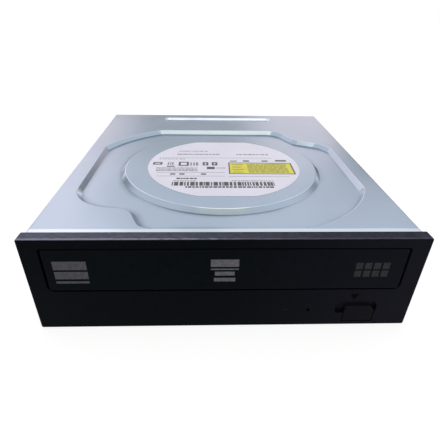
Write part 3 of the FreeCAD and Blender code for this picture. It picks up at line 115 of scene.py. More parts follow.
room = bpy.data.worlds.new("room")
bpy.context.scene.world = room
room.use_nodes = True
tree = room.node_tree
tree.nodes.clear()
direction = add_node(tree, "ShaderNodeTexCoord").outputs["Generated"]
across, along, up = split(tree, direction)
walls = add_range(tree, up, 0.2, 0.46, 0.5, 1.1)
horizon = add_range(tree, up, 0.05, 0.16, 0.9, 0.0)
front_ceiling = add_math(tree, "MULTIPLY", add_range(tree, along, -0.44, -0.16, 0.85, 0.0),
                         add_range(tree, up, 0.62, 0.8, 0.0, 1.0))
right_band = add_math(tree, "MULTIPLY", add_range(tree, across, 0.27, 0.42, 0.0, 1.0),
                      add_range(tree, across, 0.5, 0.65, 1.0, 0.0))
low_right = add_math(tree, "MULTIPLY", add_range(tree, up, 0.24, 0.42, 0.4, 0.0), right_band)
room_bright = add_math(tree, "ADD", walls, horizon)
room_dim = add_math(tree, "ADD", low_right, front_ceiling)
room_gloss = add_fed(tree, "ShaderNodeBackground", (0.96, 1.0, 1.05, 1),
                     add_math(tree, "SUBTRACT", room_bright, room_dim))
patches = add_math(tree, "ADD", soft_patch(tree, direction, 14.5, 13.0, 11.0, 0.6),
                   soft_patch(tree, direction, -23.0, 12.0, 16.0, 0.72))
patches = add_math(tree, "ADD", soft_patch(tree, direction, -30.0, 36.0, 18.0, 0.5), patches)
room_patches = add_fed(tree, "ShaderNodeBackground", (1.0, 0.77, 0.8, 1), patches)
room_ceiling = add_fed(tree, "ShaderNodeBackground", (0.86, 0.9, 0.72, 1),
                       add_math(tree, "MULTIPLY", front_ceiling, 0.86))
room_mirrored = add_fed(tree, "ShaderNodeAddShader", room_gloss, room_patches)
room_mirrored = add_fed(tree, "ShaderNodeAddShader", room_mirrored, room_ceiling)
room_light = add_fed(tree, "ShaderNodeBackground", (0.96, 0.97, 1.0, 1), 0.76)
room_white = add_fed(tree, "ShaderNodeBackground", (1, 1, 1, 1), 1.0)
ray = add_node(tree, "ShaderNodeLightPath").outputs
mirrored = add_math(tree, "MAXIMUM", ray["Is Glossy Ray"], ray["Is Transmission Ray"])
in_gloss = add_fed(tree, "ShaderNodeMixShader", mirrored, room_light, room_mirrored)
in_lens = add_fed(tree, "ShaderNodeMixShader", ray["Is Camera Ray"], in_gloss, room_white)
tree.links.new(in_lens, add_node(tree, "ShaderNodeOutputWorld").inputs[0])


# Table: a wide matt white board. To the lens and in gloss it shows white and keeps the drive's shadow.
# Its own light is only what the eye sees of it, and none of it falls on the drive.
table_half = 3.0
table_mesh = bpy.data.meshes.new("table")
table_corners = [(-table_half, -table_half, 0), (table_half, -table_half, 0), (table_half, table_half, 0),
                 (-table_half, table_half, 0)]
table_mesh.from_pydata(table_corners, [], [(0, 1, 2, 3)])
table = bpy.data.objects.new("table", table_mesh)
bpy.context.scene.collection.objects.link(table)
table_white = bpy.data.materials.new("table_white")
table_white.use_nodes = True
tree = table_white.node_tree
tree.nodes.clear()
table_matt = add_fed(tree, "ShaderNodeBsdfDiffuse", (0.9, 0.9, 0.9, 1))
table_lit = add_fed(tree, "ShaderNodeBsdfDiffuse", (0.32, 0.32, 0.32, 1))
table_glow = add_fed(tree, "ShaderNodeEmission", (1, 1, 1, 1), 0.8)
table_seen = add_fed(tree, "ShaderNodeAddShader", table_lit, table_glow)
ray = add_node(tree, "ShaderNodeLightPath").outputs
mirrored = add_math(tree, "MAXIMUM", ray["Is Glossy Ray"], ray["Is Transmission Ray"])
seen = add_math(tree, "MAXIMUM", ray["Is Camera Ray"], mirrored)
table_mix = add_fed(tree, "ShaderNodeMixShader", seen, table_matt, table_seen)
tree.links.new(table_mix, add_node(tree, "ShaderNodeOutputMaterial").inputs[0])
table_mesh.materials.append(table_white)


# Soft box: one wide warm lamp overhead and a little to the front, for the faint shadow round the foot.
# It also draws the bright lines on the pressed edges that face up and forward.
overhead = bpy.data.lights.new("overhead_box", "AREA")
overhead.shape = "RECTANGLE"
overhead.size = 0.7
overhead.size_y = 0.65
overhead.color = (1.0, 0.89, 0.7)
overhead.energy = 1.6
overhead_box = bpy.data.objects.new("overhead_box", overhead)
overhead_box.location = (0.0, -0.12, 1.2)
overhead_aim = Vector((0, 0, 0.02)) - overhead_box.location
overhead_box.rotation_euler = overhead_aim.to_track_quat("-Z", "Y").to_euler()
bpy.context.scene.collection.objects.link(overhead_box)


# Steel case: a drawn top cover with its pressed relief, and the pan that closes the underside.
# The zinc-coated sheet, 0.7 mm thick, is satin, cool grey and faintly grained by rolling. A painted highlight
# lies on the bends and on a strip along the front edge, and painted shade darkens the feet of the pressed
# slopes.
def new_finish(name, colour, roughness, metallic=0.0, **settings):
    material = bpy.data.materials.new(name)
    material.use_nodes = True
    shader = material.node_tree.nodes["Principled BSDF"]
    shader.inputs["Base Color"].default_value = (*colour, 1)
    shader.inputs["Roughness"].default_value = roughness
    shader.inputs["Metallic"].default_value = metallic
    for socket, setting in settings.items():
        shader.inputs[socket.replace("_", " ")].default_value = setting
    return material


def object_space(material, stretch=(1, 1, 1)):
    tree = material.node_tree
    scaled = add_node(tree, "ShaderNodeMapping")
    scaled.inputs["Scale"].default_value = stretch
    tree.links.new(add_node(tree, "ShaderNodeTexCoord").outputs["Object"], scaled.inputs["Vector"])
    return scaled.outputs["Vector"]


def add_noise(material, scale, detail, stretch=(1, 1, 1)):
    noise = add_node(material.node_tree, "ShaderNodeTexNoise", Scale=scale, Detail=detail)
    material.node_tree.links.new(object_space(material, stretch), noise.inputs["Vector"])
    return noise.outputs["Fac"]


# Fine patches of a darker and a lighter tone. The noise and the ramp are returned.
def mottle(material, dark, light, scale, detail=4.0, stretch=(1, 1, 1)):
    tree = material.node_tree
    fleck = add_noise(material, scale, detail, stretch)
    ramp = add_node(tree, "ShaderNodeValToRGB")
    for element, tone, place in zip(ramp.color_ramp.elements, (dark, light), (0.35, 0.65)):
        element.position = place
        element.color = (*tone, 1)
    tree.links.new(fleck, ramp.inputs["Fac"])
    tree.links.new(ramp.outputs["Color"], tree.nodes["Principled BSDF"].inputs["Base Color"])
    return fleck, ramp


def grain(material, scale, depth, strength, detail=2.0, stretch=(1, 1, 1)):
    tree = material.node_tree
    bump = add_node(tree, "ShaderNodeBump", Strength=strength, Distance=depth)
    tree.links.new(add_noise(material, scale, detail, stretch), bump.inputs["Height"])
    tree.links.new(bump.outputs["Normal"], tree.nodes["Principled BSDF"].inputs["Normal"])


def uneven_gloss(material, low, high, scale, stretch=(1, 1, 1)):
    tree = material.node_tree
    roughness = add_range(tree, add_noise(material, scale, 3.0, stretch), 0.3, 0.7, low, high)
    tree.links.new(roughness, tree.nodes["Principled BSDF"].inputs["Roughness"])


# Where the surface of a material lies, and which way it faces, each as across, along and up
def place_and_facing(material):
    tree = material.node_tree
    normal = add_node(tree, "ShaderNodeTexCoord").outputs["Normal"]
    return split(tree, object_space(material)), split(tree, normal)


def dress(material, *names):
    for name in names:
        slots = nodes[name].data.materials
        slots.clear()
        slots.append(material)


zinc_sheet = new_finish("zinc_sheet", (0.37, 0.43, 0.51), 0.17, 1.0)
fleck, tone = mottle(zinc_sheet, (0.355, 0.415, 0.495), (0.385, 0.445, 0.525), 26.0, 6.0, (1, 0.6, 1))
# Painted shade and painted highlight tones at the two ends of the tone ramp
painted_shade_tone = (0.16, 0.19, 0.23, 1)
painted_highlight_tone = (0.6, 0.65, 0.71, 1)
tone.color_ramp.elements.new(1.0).color = painted_highlight_tone
tone.color_ramp.elements.new(0.0).color = painted_shade_tone
tree = zinc_sheet.node_tree
place, facing = place_and_facing(zinc_sheet)
# Painted highlight on a strip along the front edge
painted_front_highlight = add_math(tree, "MULTIPLY", add_range(tree, place["Y"], -0.0776, -0.0768, 0.5, 0.0),
                        add_range(tree, place["Z"], 0.0405, 0.0413, 0.0, 1.0))
# Painted highlight on the bends, where the sheet faces half up
painted_bend_highlight = add_math(tree, "MULTIPLY", add_range(tree, facing["Z"], 0.74, 0.84, 0.0, 0.45),
                      add_range(tree, facing["Z"], 0.95, 0.995, 1.0, 0.0))
# Painted shade in the feet of the pressed slopes, from local occlusion on faces that look up
shade_occlusion = add_node(tree, "ShaderNodeAmbientOcclusion", samples=16, only_local=True, Distance=0.0042)
painted_foot_shade = add_math(tree, "MULTIPLY", add_math(tree, "SUBTRACT", 1.0, shade_occlusion.outputs["AO"]),
                     add_range(tree, facing["Z"], 0.8, 0.97, 0.4, 3.4))
# The painted shade is strongest at the left
painted_foot_shade = add_math(tree, "MULTIPLY", painted_foot_shade, add_range(tree, place["X"], 0.015, 0.05, 1.0, 0.4))
# Random tone plus the painted highlights, less the painted shade
tone_and_highlight = add_math(tree, "ADD", add_range(tree, fleck, 0.35, 0.65, 0.37, 0.63), painted_front_highlight)
tone_and_highlight = add_math(tree, "ADD", tone_and_highlight, painted_bend_highlight)
tree.links.new(add_math(tree, "SUBTRACT", tone_and_highlight, painted_foot_shade), tone.inputs["Fac"])
grain(zinc_sheet, 900.0, 0.00002, 0.3, 3.0, (0.12, 1, 1))
uneven_gloss(zinc_sheet, 0.15, 0.2, 60.0)
dress(zinc_sheet, "top_cover", "bottom_cover")


# Cover screws: four small flat-head machine screws of blackened steel, each with a cross recess.
# They pass up through the pan's dimples into the posts of the loader frame.
millimetres = 1000
metres = 0.001
weld_distance = 1e-7


def prism_faces(count):
    sides = [(i, (i + 1) % count, count + (i + 1) % count, count + i) for i in range(count)]
    return [tuple(reversed(range(count))), tuple(range(count, 2 * count)), *sides]


def slab(outline, low, high):
    return [(x, y, z) for z in (low, high) for x, y in outline], prism_faces(len(outline))


def block(left, right, front, back, low, high):
    return slab([(left, front), (right, front), (right, back), (left, back)], low, high)


# A profile of (radius, height) turned about the upright axis, closed at both ends on the axis
def turned(profile, across, along, steps=32):
    points = []
    faces = []
    for radius, height in profile:
        points += [(across + radius * math.cos(2 * math.pi * i / steps),
                    along + radius * math.sin(2 * math.pi * i / steps), height) for i in range(steps)]
    for ring in range(len(profile) - 1):
        for i in range(steps):
            near = ring * steps + i
            next_one = ring * steps + (i + 1) % steps
            faces.append((near, next_one, next_one + steps, near + steps))
    return points, faces


# One new piece of a body, from shapes in millimetres, smoothed below an angle in degrees
def make_piece(name, shapes, material, body, pose=None, smooth=None):
    points = []
    faces = []
    for some_points, some_faces in shapes:
        start = len(points)
        points += [Vector(point) * metres for point in some_points]
        faces += [tuple(start + i for i in face) for face in some_faces]
    mesh = bpy.data.meshes.new(name)
    mesh.from_pydata(points, [], faces)
    work = bmesh.new()
    work.from_mesh(mesh)
    bmesh.ops.remove_doubles(work, verts=work.verts, dist=weld_distance)
    bmesh.ops.dissolve_degenerate(work, edges=work.edges, dist=weld_distance)
    bmesh.ops.recalc_face_normals(work, faces=work.faces)
    work.to_mesh(mesh)
    work.free()
    mesh.materials.append(material)
    if pose is not None:
        mesh.transform(pose)
    if smooth is not None:
        mesh.shade_smooth()
        mesh.set_sharp_from_angle(angle=math.radians(smooth))
    piece = bpy.data.objects.new(name, mesh)
    bpy.context.scene.collection.objects.link(piece)
    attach(piece, body)
    return piece


# Head with a cross recess, its flat face down at the given level
def cross_head(across, along, face, radius, thick, arm, half, depth):
    steps = 48
    chamfer = 0.25
    floor_share = 0.7
    full_turn = 2 * math.pi
    cross = []
    for turn in range(4):
        cosine = math.cos(math.pi / 2 * turn)
        sine = math.sin(math.pi / 2 * turn)
        for x, y in ((arm, -half), (arm, half), (half, half)):
            cross.append((x * cosine - y * sine, x * sine + y * cosine))
    points = [(across + x, along + y, face) for x, y in cross]
    points += [(across + floor_share * x, along + floor_share * y, face + depth) for x, y in cross]
    for ring, level in ((radius - chamfer, face), (radius, face + chamfer), (radius, face + thick)):
        for i in range(steps):
            angle = full_turn * i / steps
            points.append((across + ring * math.cos(angle), along + ring * math.sin(angle), level))
    corners = len(cross)
    rim = 2 * corners
    faces = [(i, (i + 1) % corners, corners + (i + 1) % corners, corners + i) for i in range(corners)]
    faces.append(tuple(range(corners, rim)))
    for i in range(corners):
        j = (i + 1) % corners
        first = math.atan2(cross[i][1], cross[i][0]) % full_turn
        last = math.atan2(cross[j][1], cross[j][0]) % full_turn
        start = round(first / full_turn * steps)
        count = (round(last / full_turn * steps) - start) % steps
        arc = [rim + (start + k) % steps for k in range(count + 1)]
        faces.append((i, *arc, j))
    for level in range(2):
        base = rim + level * steps
        faces += [(base + i, base + (i + 1) % steps, base + steps + (i + 1) % steps, base + steps + i)
                  for i in range(steps)]
    faces.append(tuple(rim + 2 * steps + i for i in range(steps)))
    return points, faces


black_oxide = new_finish("black_oxide", (0.04, 0.04, 0.042), 0.36, 0.8)
mottle(black_oxide, (0.028, 0.028, 0.03), (0.055, 0.055, 0.058), 700.0)
grain(black_oxide, 2000.0, 0.00002, 0.4)
for number in range(1, 5):
    low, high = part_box(f"cover_screw_{number}")
    across = (low[0] + high[0]) / 2 * millimetres
    along = (low[1] + high[1]) / 2 * millimetres
    face = low[2] * millimetres
    tip = high[2] * millimetres
    under_head = face + 0.9
    profile = [(0.0, under_head), (1.0, under_head)]
    for turn in range(8):
        level = face + 1.3 + turn * 0.6
        profile += [(1.0, level), (1.2, level + 0.3)]
    profile += [(1.0, tip - 0.4), (0.3, tip), (0.0, tip)]
    head = cross_head(across, along, face, radius=2.6, thick=0.9, arm=1.35, half=0.32, depth=0.7)
    shank = turned(profile, across, along, 20)
    screw = make_piece(f"cross_screw_{number}", [head, shank], black_oxide, "case", smooth=35)
    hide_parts(f"cover_screw_{number}")


# Label: white satin paper, die-cut round with two straight sides, stuck on the plateau of the cover.
# Its print is plain fields, rules and bars in dark ink, with one yellow field, and says nothing.
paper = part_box("label")[1][2] * millimetres
ink_foot = paper + 0.01
ink_top = paper + 0.02


def field(left, right, front, back):
    return block(left, right, front, back, ink_foot, ink_top)


# A run of short marks, like a line of small print seen from afar
def mark_row(left, right, front, back, smallest, largest, gap, chance):
    marks = []
    place = left
    while place < right - smallest:
        width = chance.uniform(smallest, largest)
        marks.append(field(place, min(place + width, right), front, back))
        place += width + chance.uniform(0.5, 1.5) * gap
    return marks


# Rows and rules of small print
chance = random.Random(7)
dark_ink = []
faint_ink = []
rule_half = 0.17
for left, right, middle, high in ((-22.3, -6.5, 6.6, 0.9), (-23.0, 0.0, 1.7, 1.3), (9.0, 26.5, 1.6, 1.3)):
    faint_ink += mark_row(left, right, middle - high / 2, middle + high / 2, 0.5, 2.6, 0.45, chance)
for left, right, level in ((-31.8, 27.5, -3.7), (-31.6, 1.6, -23.7), (-31.2, 1.5, -28.2), (3.3, 32.6, -28.7)):
    faint_ink.append(field(left, right, level - rule_half, level + rule_half))
for level in (-18.0, -19.7, -21.4):
    faint_ink += mark_row(-32.3, -11.8, level - 0.45, level + 0.45, 0.7, 3.0, 0.3, chance)
faint_ink += mark_row(-32.0, -17.6, -5.9, -5.1, 0.8, 1.8, 0.7, chance)
faint_ink += mark_row(4.2, 24.6, -34.1, -33.3, 0.5, 1.6, 0.35, chance)
faint_ink += mark_row(-22.8, -11.7, -34.3, -33.4, 0.4, 1.2, 0.3, chance)
dark_ink += mark_row(-21.6, -12.0, -31.8, -30.3, 0.6, 1.9, 0.35, chance)
dark_ink += mark_row(-23.3, 24.4, -39.2, -35.0, 0.35, 2.1, 0.45, chance)
dark_ink += mark_row(-17.0, 23.9, -41.4, -39.8, 0.6, 2.0, 0.35, chance)

# Solid and open fields
solid_fields = ((11.8, 15.0, -9.0, -7.2), (21.6, 24.8, -8.9, -7.3), (28.8, 34.6, -8.6, -6.6),
                (-27.4, -23.4, -16.4, -15.2), (-7.2, -3.2, -19.4, -16.4), (5.0, 8.6, -8.8, -7.7))
for left, right, front, back in solid_fields:
    dark_ink.append(field(left, right, front, back))
open_fields = ((-34.6, -29.9, -13.6, -10.2), (-21.5, -16.4, -15.2, -9.6), (-9.3, -6.4, -14.4, -10.0),
               (-4.6, -1.8, -14.4, -10.0))
for left, right, front, back in open_fields:
    low_edge = front + 1.1
    high_edge = back - 1.1
    dark_ink += [field(left, right, front, low_edge), field(left, right, high_edge, back)]
    dark_ink += [field(left, left + 1.0, low_edge, high_edge), field(right - 1.0, right, low_edge, high_edge)]
for left in (-24.9, -20.5, -10.1):
    dark_ink.append(field(left, left + 2.5, -26.5, -25.0))
faint_ink += mark_row(-15.6, -11.2, -14.8, -10.4, 0.6, 1.2, 0.5, chance)
faint_ink += mark_row(-2.4, 2.4, -18.4, -17.4, 0.5, 1.4, 0.4, chance)
faint_ink += mark_row(-27.2, -23.6, -14.0, -10.2, 0.5, 1.0, 0.5, chance)

# Frame of the yellow field, and the fine print in it
outer = [(3.6, -25.5), (36.3, -25.7), (36.4, -10.9), (3.9, -10.3)]
inner = [(4.2, -24.8), (35.6, -25.0), (35.7, -11.6), (4.5, -11.0)]
for i in range(4):
    j = (i + 1) % 4
    dark_ink.append(slab([outer[i], outer[j], inner[j], inner[i]], ink_foot, ink_top))
fine_ink = []
for row in range(9):
    level = -12.6 - row * 1.33
    fine_ink += mark_row(13.4, 33.4, level - 0.42, level + 0.42, 0.8, 3.4, 0.32, chance)
for row in range(4):
    level = -13.2 - row * 3.3
    fine_ink.append(field(5.6, 11.2 - 0.8 * (row % 2), level - 0.4, level + 0.4))

label_stock = new_finish("label_stock", (0.825, 0.805, 0.92), 0.42)
mottle(label_stock, (0.805, 0.785, 0.9), (0.845, 0.825, 0.94), 60.0)
grain(label_stock, 3000.0, 0.00001, 0.3)
dress(label_stock, "label")
black_ink = new_finish("black_ink", (0.03, 0.03, 0.035), 0.4)
mottle(black_ink, (0.02, 0.02, 0.026), (0.055, 0.055, 0.062), 900.0)
grey_ink = new_finish("grey_ink", (0.24, 0.24, 0.28), 0.45)
mottle(grey_ink, (0.2, 0.2, 0.24), (0.3, 0.3, 0.34), 900.0)
yellow_ink = new_finish("yellow_ink", (0.78, 0.72, 0.02), 0.4)
mottle(yellow_ink, (0.72, 0.66, 0.015), (0.82, 0.76, 0.025), 250.0)
olive_ink = new_finish("olive_ink", (0.3, 0.28, 0.06), 0.45)
mottle(olive_ink, (0.24, 0.23, 0.05), (0.38, 0.35, 0.07), 900.0)
make_piece("label_print_dark", dark_ink, black_ink, "case")
make_piece("label_print_grey", faint_ink, grey_ink, "case")
yellow_field = slab(inner, paper + 0.004, ink_foot)
make_piece("label_yellow_field", [yellow_field], yellow_ink, "case")
make_piece("label_print_olive", fine_ink, olive_ink, "case")


# Front moulding: black ABS with a fine spark-eroded grain, clipped over the front of the steel case.
# A film of dust with a painted sheen greys what faces up, strongest at the left as painted light, with a
# painted highlight along the front rim. A painted sheen makes the right a little paler, and a plain dark
# triangle stands over the button.
def dust_and_painted_light(material, dark, light, dust_and_sheen, above=-1.0, left=-0.1, right=0.1, thin=1.0, rim_front=-1.0,
           painted_sheen=(0.0, 0.0, 0.0)):
    # Dust with a painted sheen lies above a height, fades from left to right as painted light, and a painted
    # highlight line doubles it before rim_front
    tree = material.node_tree
    place, facing = place_and_facing(material)
    dust_and_sheen_film = add_math(tree, "MULTIPLY", add_range(tree, facing["Z"], 0.4, 0.85, 0.0, 1.0),
                    add_range(tree, place["Z"], above - 0.0006, above, 0.0, 1.0))
    # Painted light: the film fades from left to right
    dust_and_sheen_film = add_math(tree, "MULTIPLY", dust_and_sheen_film, add_range(tree, place["X"], left, right, 1.0, thin))
    streak = add_noise(material, 2200.0, 3.0, (0.2, 1, 1))
    dust_and_sheen_film = add_math(tree, "MULTIPLY", dust_and_sheen_film, add_range(tree, streak, 0.3, 0.7, 0.5, 0.76))
    # Painted highlight: the film doubles just before rim_front, for the bright front edge line
    rim = add_range(tree, place["Y"], rim_front, rim_front + 0.0005, 0.9, 0.0)
    dust_and_sheen_film = add_math(tree, "ADD", dust_and_sheen_film, add_math(tree, "MULTIPLY", dust_and_sheen_film, rim))
    speckle = add_math(tree, "MULTIPLY", add_noise(material, 420.0, 4.0), 0.2)
    ramp = add_node(tree, "ShaderNodeValToRGB")
    ramp.color_ramp.elements[0].position = 0.06
    ramp.color_ramp.elements[0].color = (*dark, 1)
    ramp.color_ramp.elements[1].position = 0.85
    ramp.color_ramp.elements[1].color = (*dust_and_sheen, 1)
    ramp.color_ramp.elements.new(0.16).color = (*light, 1)
    ramp.color_ramp.elements.new(1.0).color = (*(2.0 * part for part in dust_and_sheen), 1)
    tree.links.new(add_math(tree, "ADD", dust_and_sheen_film, speckle), ramp.inputs["Fac"])
    # Painted sheen, a tint that grows towards the right
    painted_right_sheen = add_node(tree, "ShaderNodeValToRGB")
    painted_right_sheen.color_ramp.elements[0].color = (0, 0, 0, 1)
    painted_right_sheen.color_ramp.elements[1].color = (*painted_sheen, 1)
    tree.links.new(add_range(tree, place["X"], -0.01, 0.07, 0.0, 1.0), painted_right_sheen.inputs["Fac"])
    toned = add_fed(tree, "ShaderNodeVectorMath", ramp.outputs["Color"], painted_right_sheen.outputs["Color"],
                    operation="ADD")
    tree.links.new(toned, tree.nodes["Principled BSDF"].inputs["Base Color"])


bezel_black = new_finish("bezel_black", (0.002, 0.003, 0.004), 0.42, Specular_IOR_Level=0.03)
# Dust with a painted sheen on the ledge, stronger at the left, a painted highlight along the front rim, and a
# painted sheen at the right
dust_and_painted_light(bezel_black, (0.0006, 0.0018, 0.0028), (0.0014, 0.0028, 0.0044), (0.125, 0.128, 0.175), above=0.0415,
       left=-0.075, right=0.06, thin=0.3, rim_front=-0.0844, painted_sheen=(0.005, 0.0036, 0.0076))
grain(bezel_black, 2600.0, 0.00006, 0.6)
uneven_gloss(bezel_black, 0.36, 0.5, 500.0)
dress(bezel_black, "front_bezel")

bezel_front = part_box("front_bezel")[0][1] * millimetres
ink_proud = bezel_front - 0.008
ink_root = bezel_front + 0.01


# Flat mark on the front face, from corners given as (across, up)
def front_mark(corners):
    return [(x, y, z) for y in (ink_proud, ink_root) for x, z in corners], prism_faces(len(corners))


mark_black = new_finish("mark_black", (0.0006, 0.0006, 0.0008), 0.6, Specular_IOR_Level=0.02)
mottle(mark_black, (0.0004, 0.0004, 0.0006), (0.001, 0.001, 0.0012), 900.0)
triangle = front_mark([(48.8, 16.5), (50.6, 13.4), (52.4, 16.5)])
make_piece("button_triangle", [triangle], mark_black, "case")


# Tray door: a black moulded strip clipped to the nose of the tray, with the same grain as the bezel.
# Three groups of plain grey bars and blocks are pad-printed on it.
door_black = new_finish("door_black", (0.003, 0.004, 0.005), 0.4, Specular_IOR_Level=0.03)
# A faint film of dust and painted sheen on what faces up, and a painted sheen at the right
dust_and_painted_light(door_black, (0.0008, 0.0022, 0.0036), (0.002, 0.0036, 0.0056), (0.004, 0.005, 0.007),
       painted_sheen=(0.0026, 0.0022, 0.0045))
grain(door_black, 2600.0, 0.00006, 0.6)
uneven_gloss(door_black, 0.34, 0.48, 500.0)
dress(door_black, "tray_door")


def front_block(left, right, low, high):
    return front_mark([(left, low), (right, low), (right, high), (left, high)])


left_mark = [front_block(-63.4, -51.2, low, high) for low, high in ((28.9, 32.7), (24.7, 28.1), (22.7, 23.7))]
middle_bars = ((-6.1, 4.3, 30.0, 33.3), (-6.1, 4.3, 28.6, 29.2), (-4.6, 2.8, 26.0, 27.8),
               (-4.9, 3.1, 23.2, 24.9))
middle_mark = [front_block(left, right, low, high) for left, right, low, high in middle_bars]
right_mark = [front_block(left, left + 2.6, low, low + 2.9)
              for left in (48.0, 51.4, 54.8, 58.2) for low in (28.6, 25.0)]
for name, mark, grey in (("door_bars_left", left_mark, 0.075), ("door_bars_middle", middle_mark, 0.12),
                         ("door_blocks_right", right_mark, 0.024)):
    pad_ink = new_finish(f"{name}_ink", (grey, grey, grey * 1.1), 0.5, Specular_IOR_Level=0.1)
    mottle(pad_ink, (grey * 0.8, grey * 0.8, grey * 0.88), (grey * 1.15, grey * 1.15, grey * 1.27), 1100.0)
    make_piece(name, mark, pad_ink, "tray")


# Eject button: a black moulded key with a flange behind the bezel and a stem that meets the switch.
# Its face is worn a little smoother than the bezel by fingers.
button_black = new_finish("button_black", (0.003, 0.003, 0.004), 0.36, Specular_IOR_Level=0.03)
# Painted highlight on what faces up, where the top edge catches light, and a painted sheen at the right
dust_and_painted_light(button_black, (0.001, 0.0014, 0.002), (0.002, 0.0024, 0.0034), (0.018, 0.018, 0.022),
       painted_sheen=(0.0042, 0.0034, 0.0062))
grain(button_black, 2600.0, 0.00004, 0.5)
uneven_gloss(button_black, 0.28, 0.42, 700.0)
dress(button_black, "eject_button")


# Light pipe: a small moulding of smoked acrylic that brings the lamp's light to the front.
# It looks nearly black while the lamp is off.
smoked_acrylic = new_finish("smoked_acrylic", (0.005, 0.006, 0.007), 0.3, Specular_IOR_Level=0.05)
mottle(smoked_acrylic, (0.0035, 0.0042, 0.005), (0.007, 0.008, 0.009), 700.0)
grain(smoked_acrylic, 900.0, 0.00001, 0.2)
dress(smoked_acrylic, "light_pipe")


# Lamp: a light-emitting diode in clear epoxy, soldered to the front board.
# The epoxy is faintly milky, so the die inside is not seen.
clear_epoxy = new_finish("clear_epoxy", (0.62, 0.68, 0.62), 0.16, Transmission_Weight=0.45, IOR=1.5)
mottle(clear_epoxy, (0.5, 0.57, 0.5), (0.72, 0.77, 0.72), 700.0)
dress(clear_epoxy, "lamp")


# Tray: one long moulding of black ABS with a stepped disc pocket, a turntable window and a rack below.
# The face is semi-matt, with faint flow marks along its length, and what faces up is a little lighter.
tray_black = new_finish("tray_black", (0.02, 0.021, 0.023), 0.38)
dust_and_painted_light(tray_black, (0.014, 0.015, 0.017), (0.022, 0.023, 0.025), (0.034, 0.035, 0.038))
grain(tray_black, 1800.0, 0.00004, 0.5)
uneven_gloss(tray_black, 0.32, 0.46, 200.0, (1, 0.25, 1))
dress(tray_black, "disc_tray")


# Loader frame: the black moulded chassis that carries the tray on ledges, the drive and the traverse.
# The moulding is plain and a shade greyer than the tray, and its gloss is uneven.
chassis_black = new_finish("chassis_black", (0.03, 0.03, 0.033), 0.5)
mottle(chassis_black, (0.024, 0.024, 0.027), (0.037, 0.037, 0.04), 90.0)
grain(chassis_black, 1200.0, 0.00004, 0.4)
uneven_gloss(chassis_black, 0.42, 0.58, 150.0)
dress(chassis_black, "main_frame")


# Loading motor: a small direct-current motor in a bright drawn can, held in a well of the frame.
# The sled motor and the rotor of the spindle motor have cans of the same bright drawn steel.
bright_can = new_finish("bright_can", (0.6, 0.6, 0.61), 0.28, 1.0)
mottle(bright_can, (0.54, 0.54, 0.55), (0.64, 0.64, 0.65), 120.0)
grain(bright_can, 700.0, 0.00002, 0.3, 2.0, (1, 1, 0.2))
dress(bright_can, "loading_motor", "sled_motor", "rotor_can")


# Motor pulley, loading gears, cam slider and clamper disc: natural acetal, off-white and a little waxy.
# They run dry, and their gloss is uneven where they have rubbed.
white_acetal = new_finish("white_acetal", (0.78, 0.77, 0.72), 0.34, Subsurface_Weight=0.1)
mottle(white_acetal, (0.73, 0.72, 0.67), (0.81, 0.8, 0.76), 200.0)
grain(white_acetal, 900.0, 0.00002, 0.3)
uneven_gloss(white_acetal, 0.28, 0.4, 300.0)
dress(white_acetal, "motor_pulley", "pulley_gear", "drive_gear", "cam_slider", "clamper_disc")


# Drive belt, dampers and the turntable's grip ring: soft black rubber, matt and slightly bloomed.
# The dampers hold the traverse on the lift frame, and the ring is bonded to the turntable.
soft_rubber = new_finish("soft_rubber", (0.02, 0.02, 0.02), 0.75)
mottle(soft_rubber, (0.016, 0.016, 0.016), (0.03, 0.03, 0.031), 300.0)
grain(soft_rubber, 1500.0, 0.00004, 0.6)
dress(soft_rubber, "drive_belt", "grip_ring", "damper_1", "damper_2", "damper_3", "damper_4")


# Lift frame, rod holders, screw bearing and turntable: dark grey acetal with glass filling.
# The filling shows as a fine grey fleck in the skin.
dark_acetal = new_finish("dark_acetal", (0.05, 0.05, 0.055), 0.38)
mottle(dark_acetal, (0.035, 0.035, 0.04), (0.07, 0.07, 0.075), 900.0)
grain(dark_acetal, 900.0, 0.00002, 0.3)
dress(dark_acetal, "lift_frame", "screw_bearing", "turntable", "rod_holder_1", "rod_holder_2", "rod_holder_3",
      "rod_holder_4")


# Traverse plate, spindle base, clamper bridge and pickup lid: zinc-coated steel sheet, punched and bent.
# The coat is brighter than the case's, with the rolling grain across the drive.
punched_steel = new_finish("punched_steel", (0.56, 0.57, 0.58), 0.34, 1.0)
mottle(punched_steel, (0.5, 0.51, 0.52), (0.6, 0.61, 0.62), 60.0)
grain(punched_steel, 800.0, 0.00002, 0.3, 2.0, (0.2, 1, 1))
uneven_gloss(punched_steel, 0.28, 0.42, 90.0)
dress(punched_steel, "traverse_plate", "spindle_base", "clamper_bridge", "pickup_lid")


# Guide rods: ground and polished steel, 3 mm thick, held at both ends in moulded holders.
# The pickup's bushes have left faint lengthwise rub marks.
ground_steel = new_finish("ground_steel", (0.7, 0.7, 0.72), 0.12, 1.0)
mottle(ground_steel, (0.66, 0.66, 0.68), (0.73, 0.73, 0.75), 400.0, 2.0, (1, 0.05, 1))
uneven_gloss(ground_steel, 0.08, 0.2, 600.0, (1, 0.05, 1))
dress(ground_steel, "main_rod", "side_rod")


# Lead screw: polished steel with a rolled thread of 3 mm lead, on the sled motor's shaft.
# The ends stay plain in the motor and in the far bearing. The screw leans with the traverse, lowered at rest.
screw_low, screw_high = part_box("lead_screw")
screw_across = (screw_low[0] + screw_high[0]) / 2 * millimetres
screw_crest = (screw_high[0] - screw_low[0]) / 2 * millimetres
lift_sine = 7.0 / 80.0
pivot_along = 65.0
pivot_up = 16.0
axis_up = 23.2
screw_start = -9.0
screw_end = 55.2
thread_lead = 3.0
groove_depth = 0.32
groove_reach = 0.36
flank_reach = 0.2
run_out = 0.6


def share(part, whole):
    return min(max(part / whole, 0.0), 1.0)


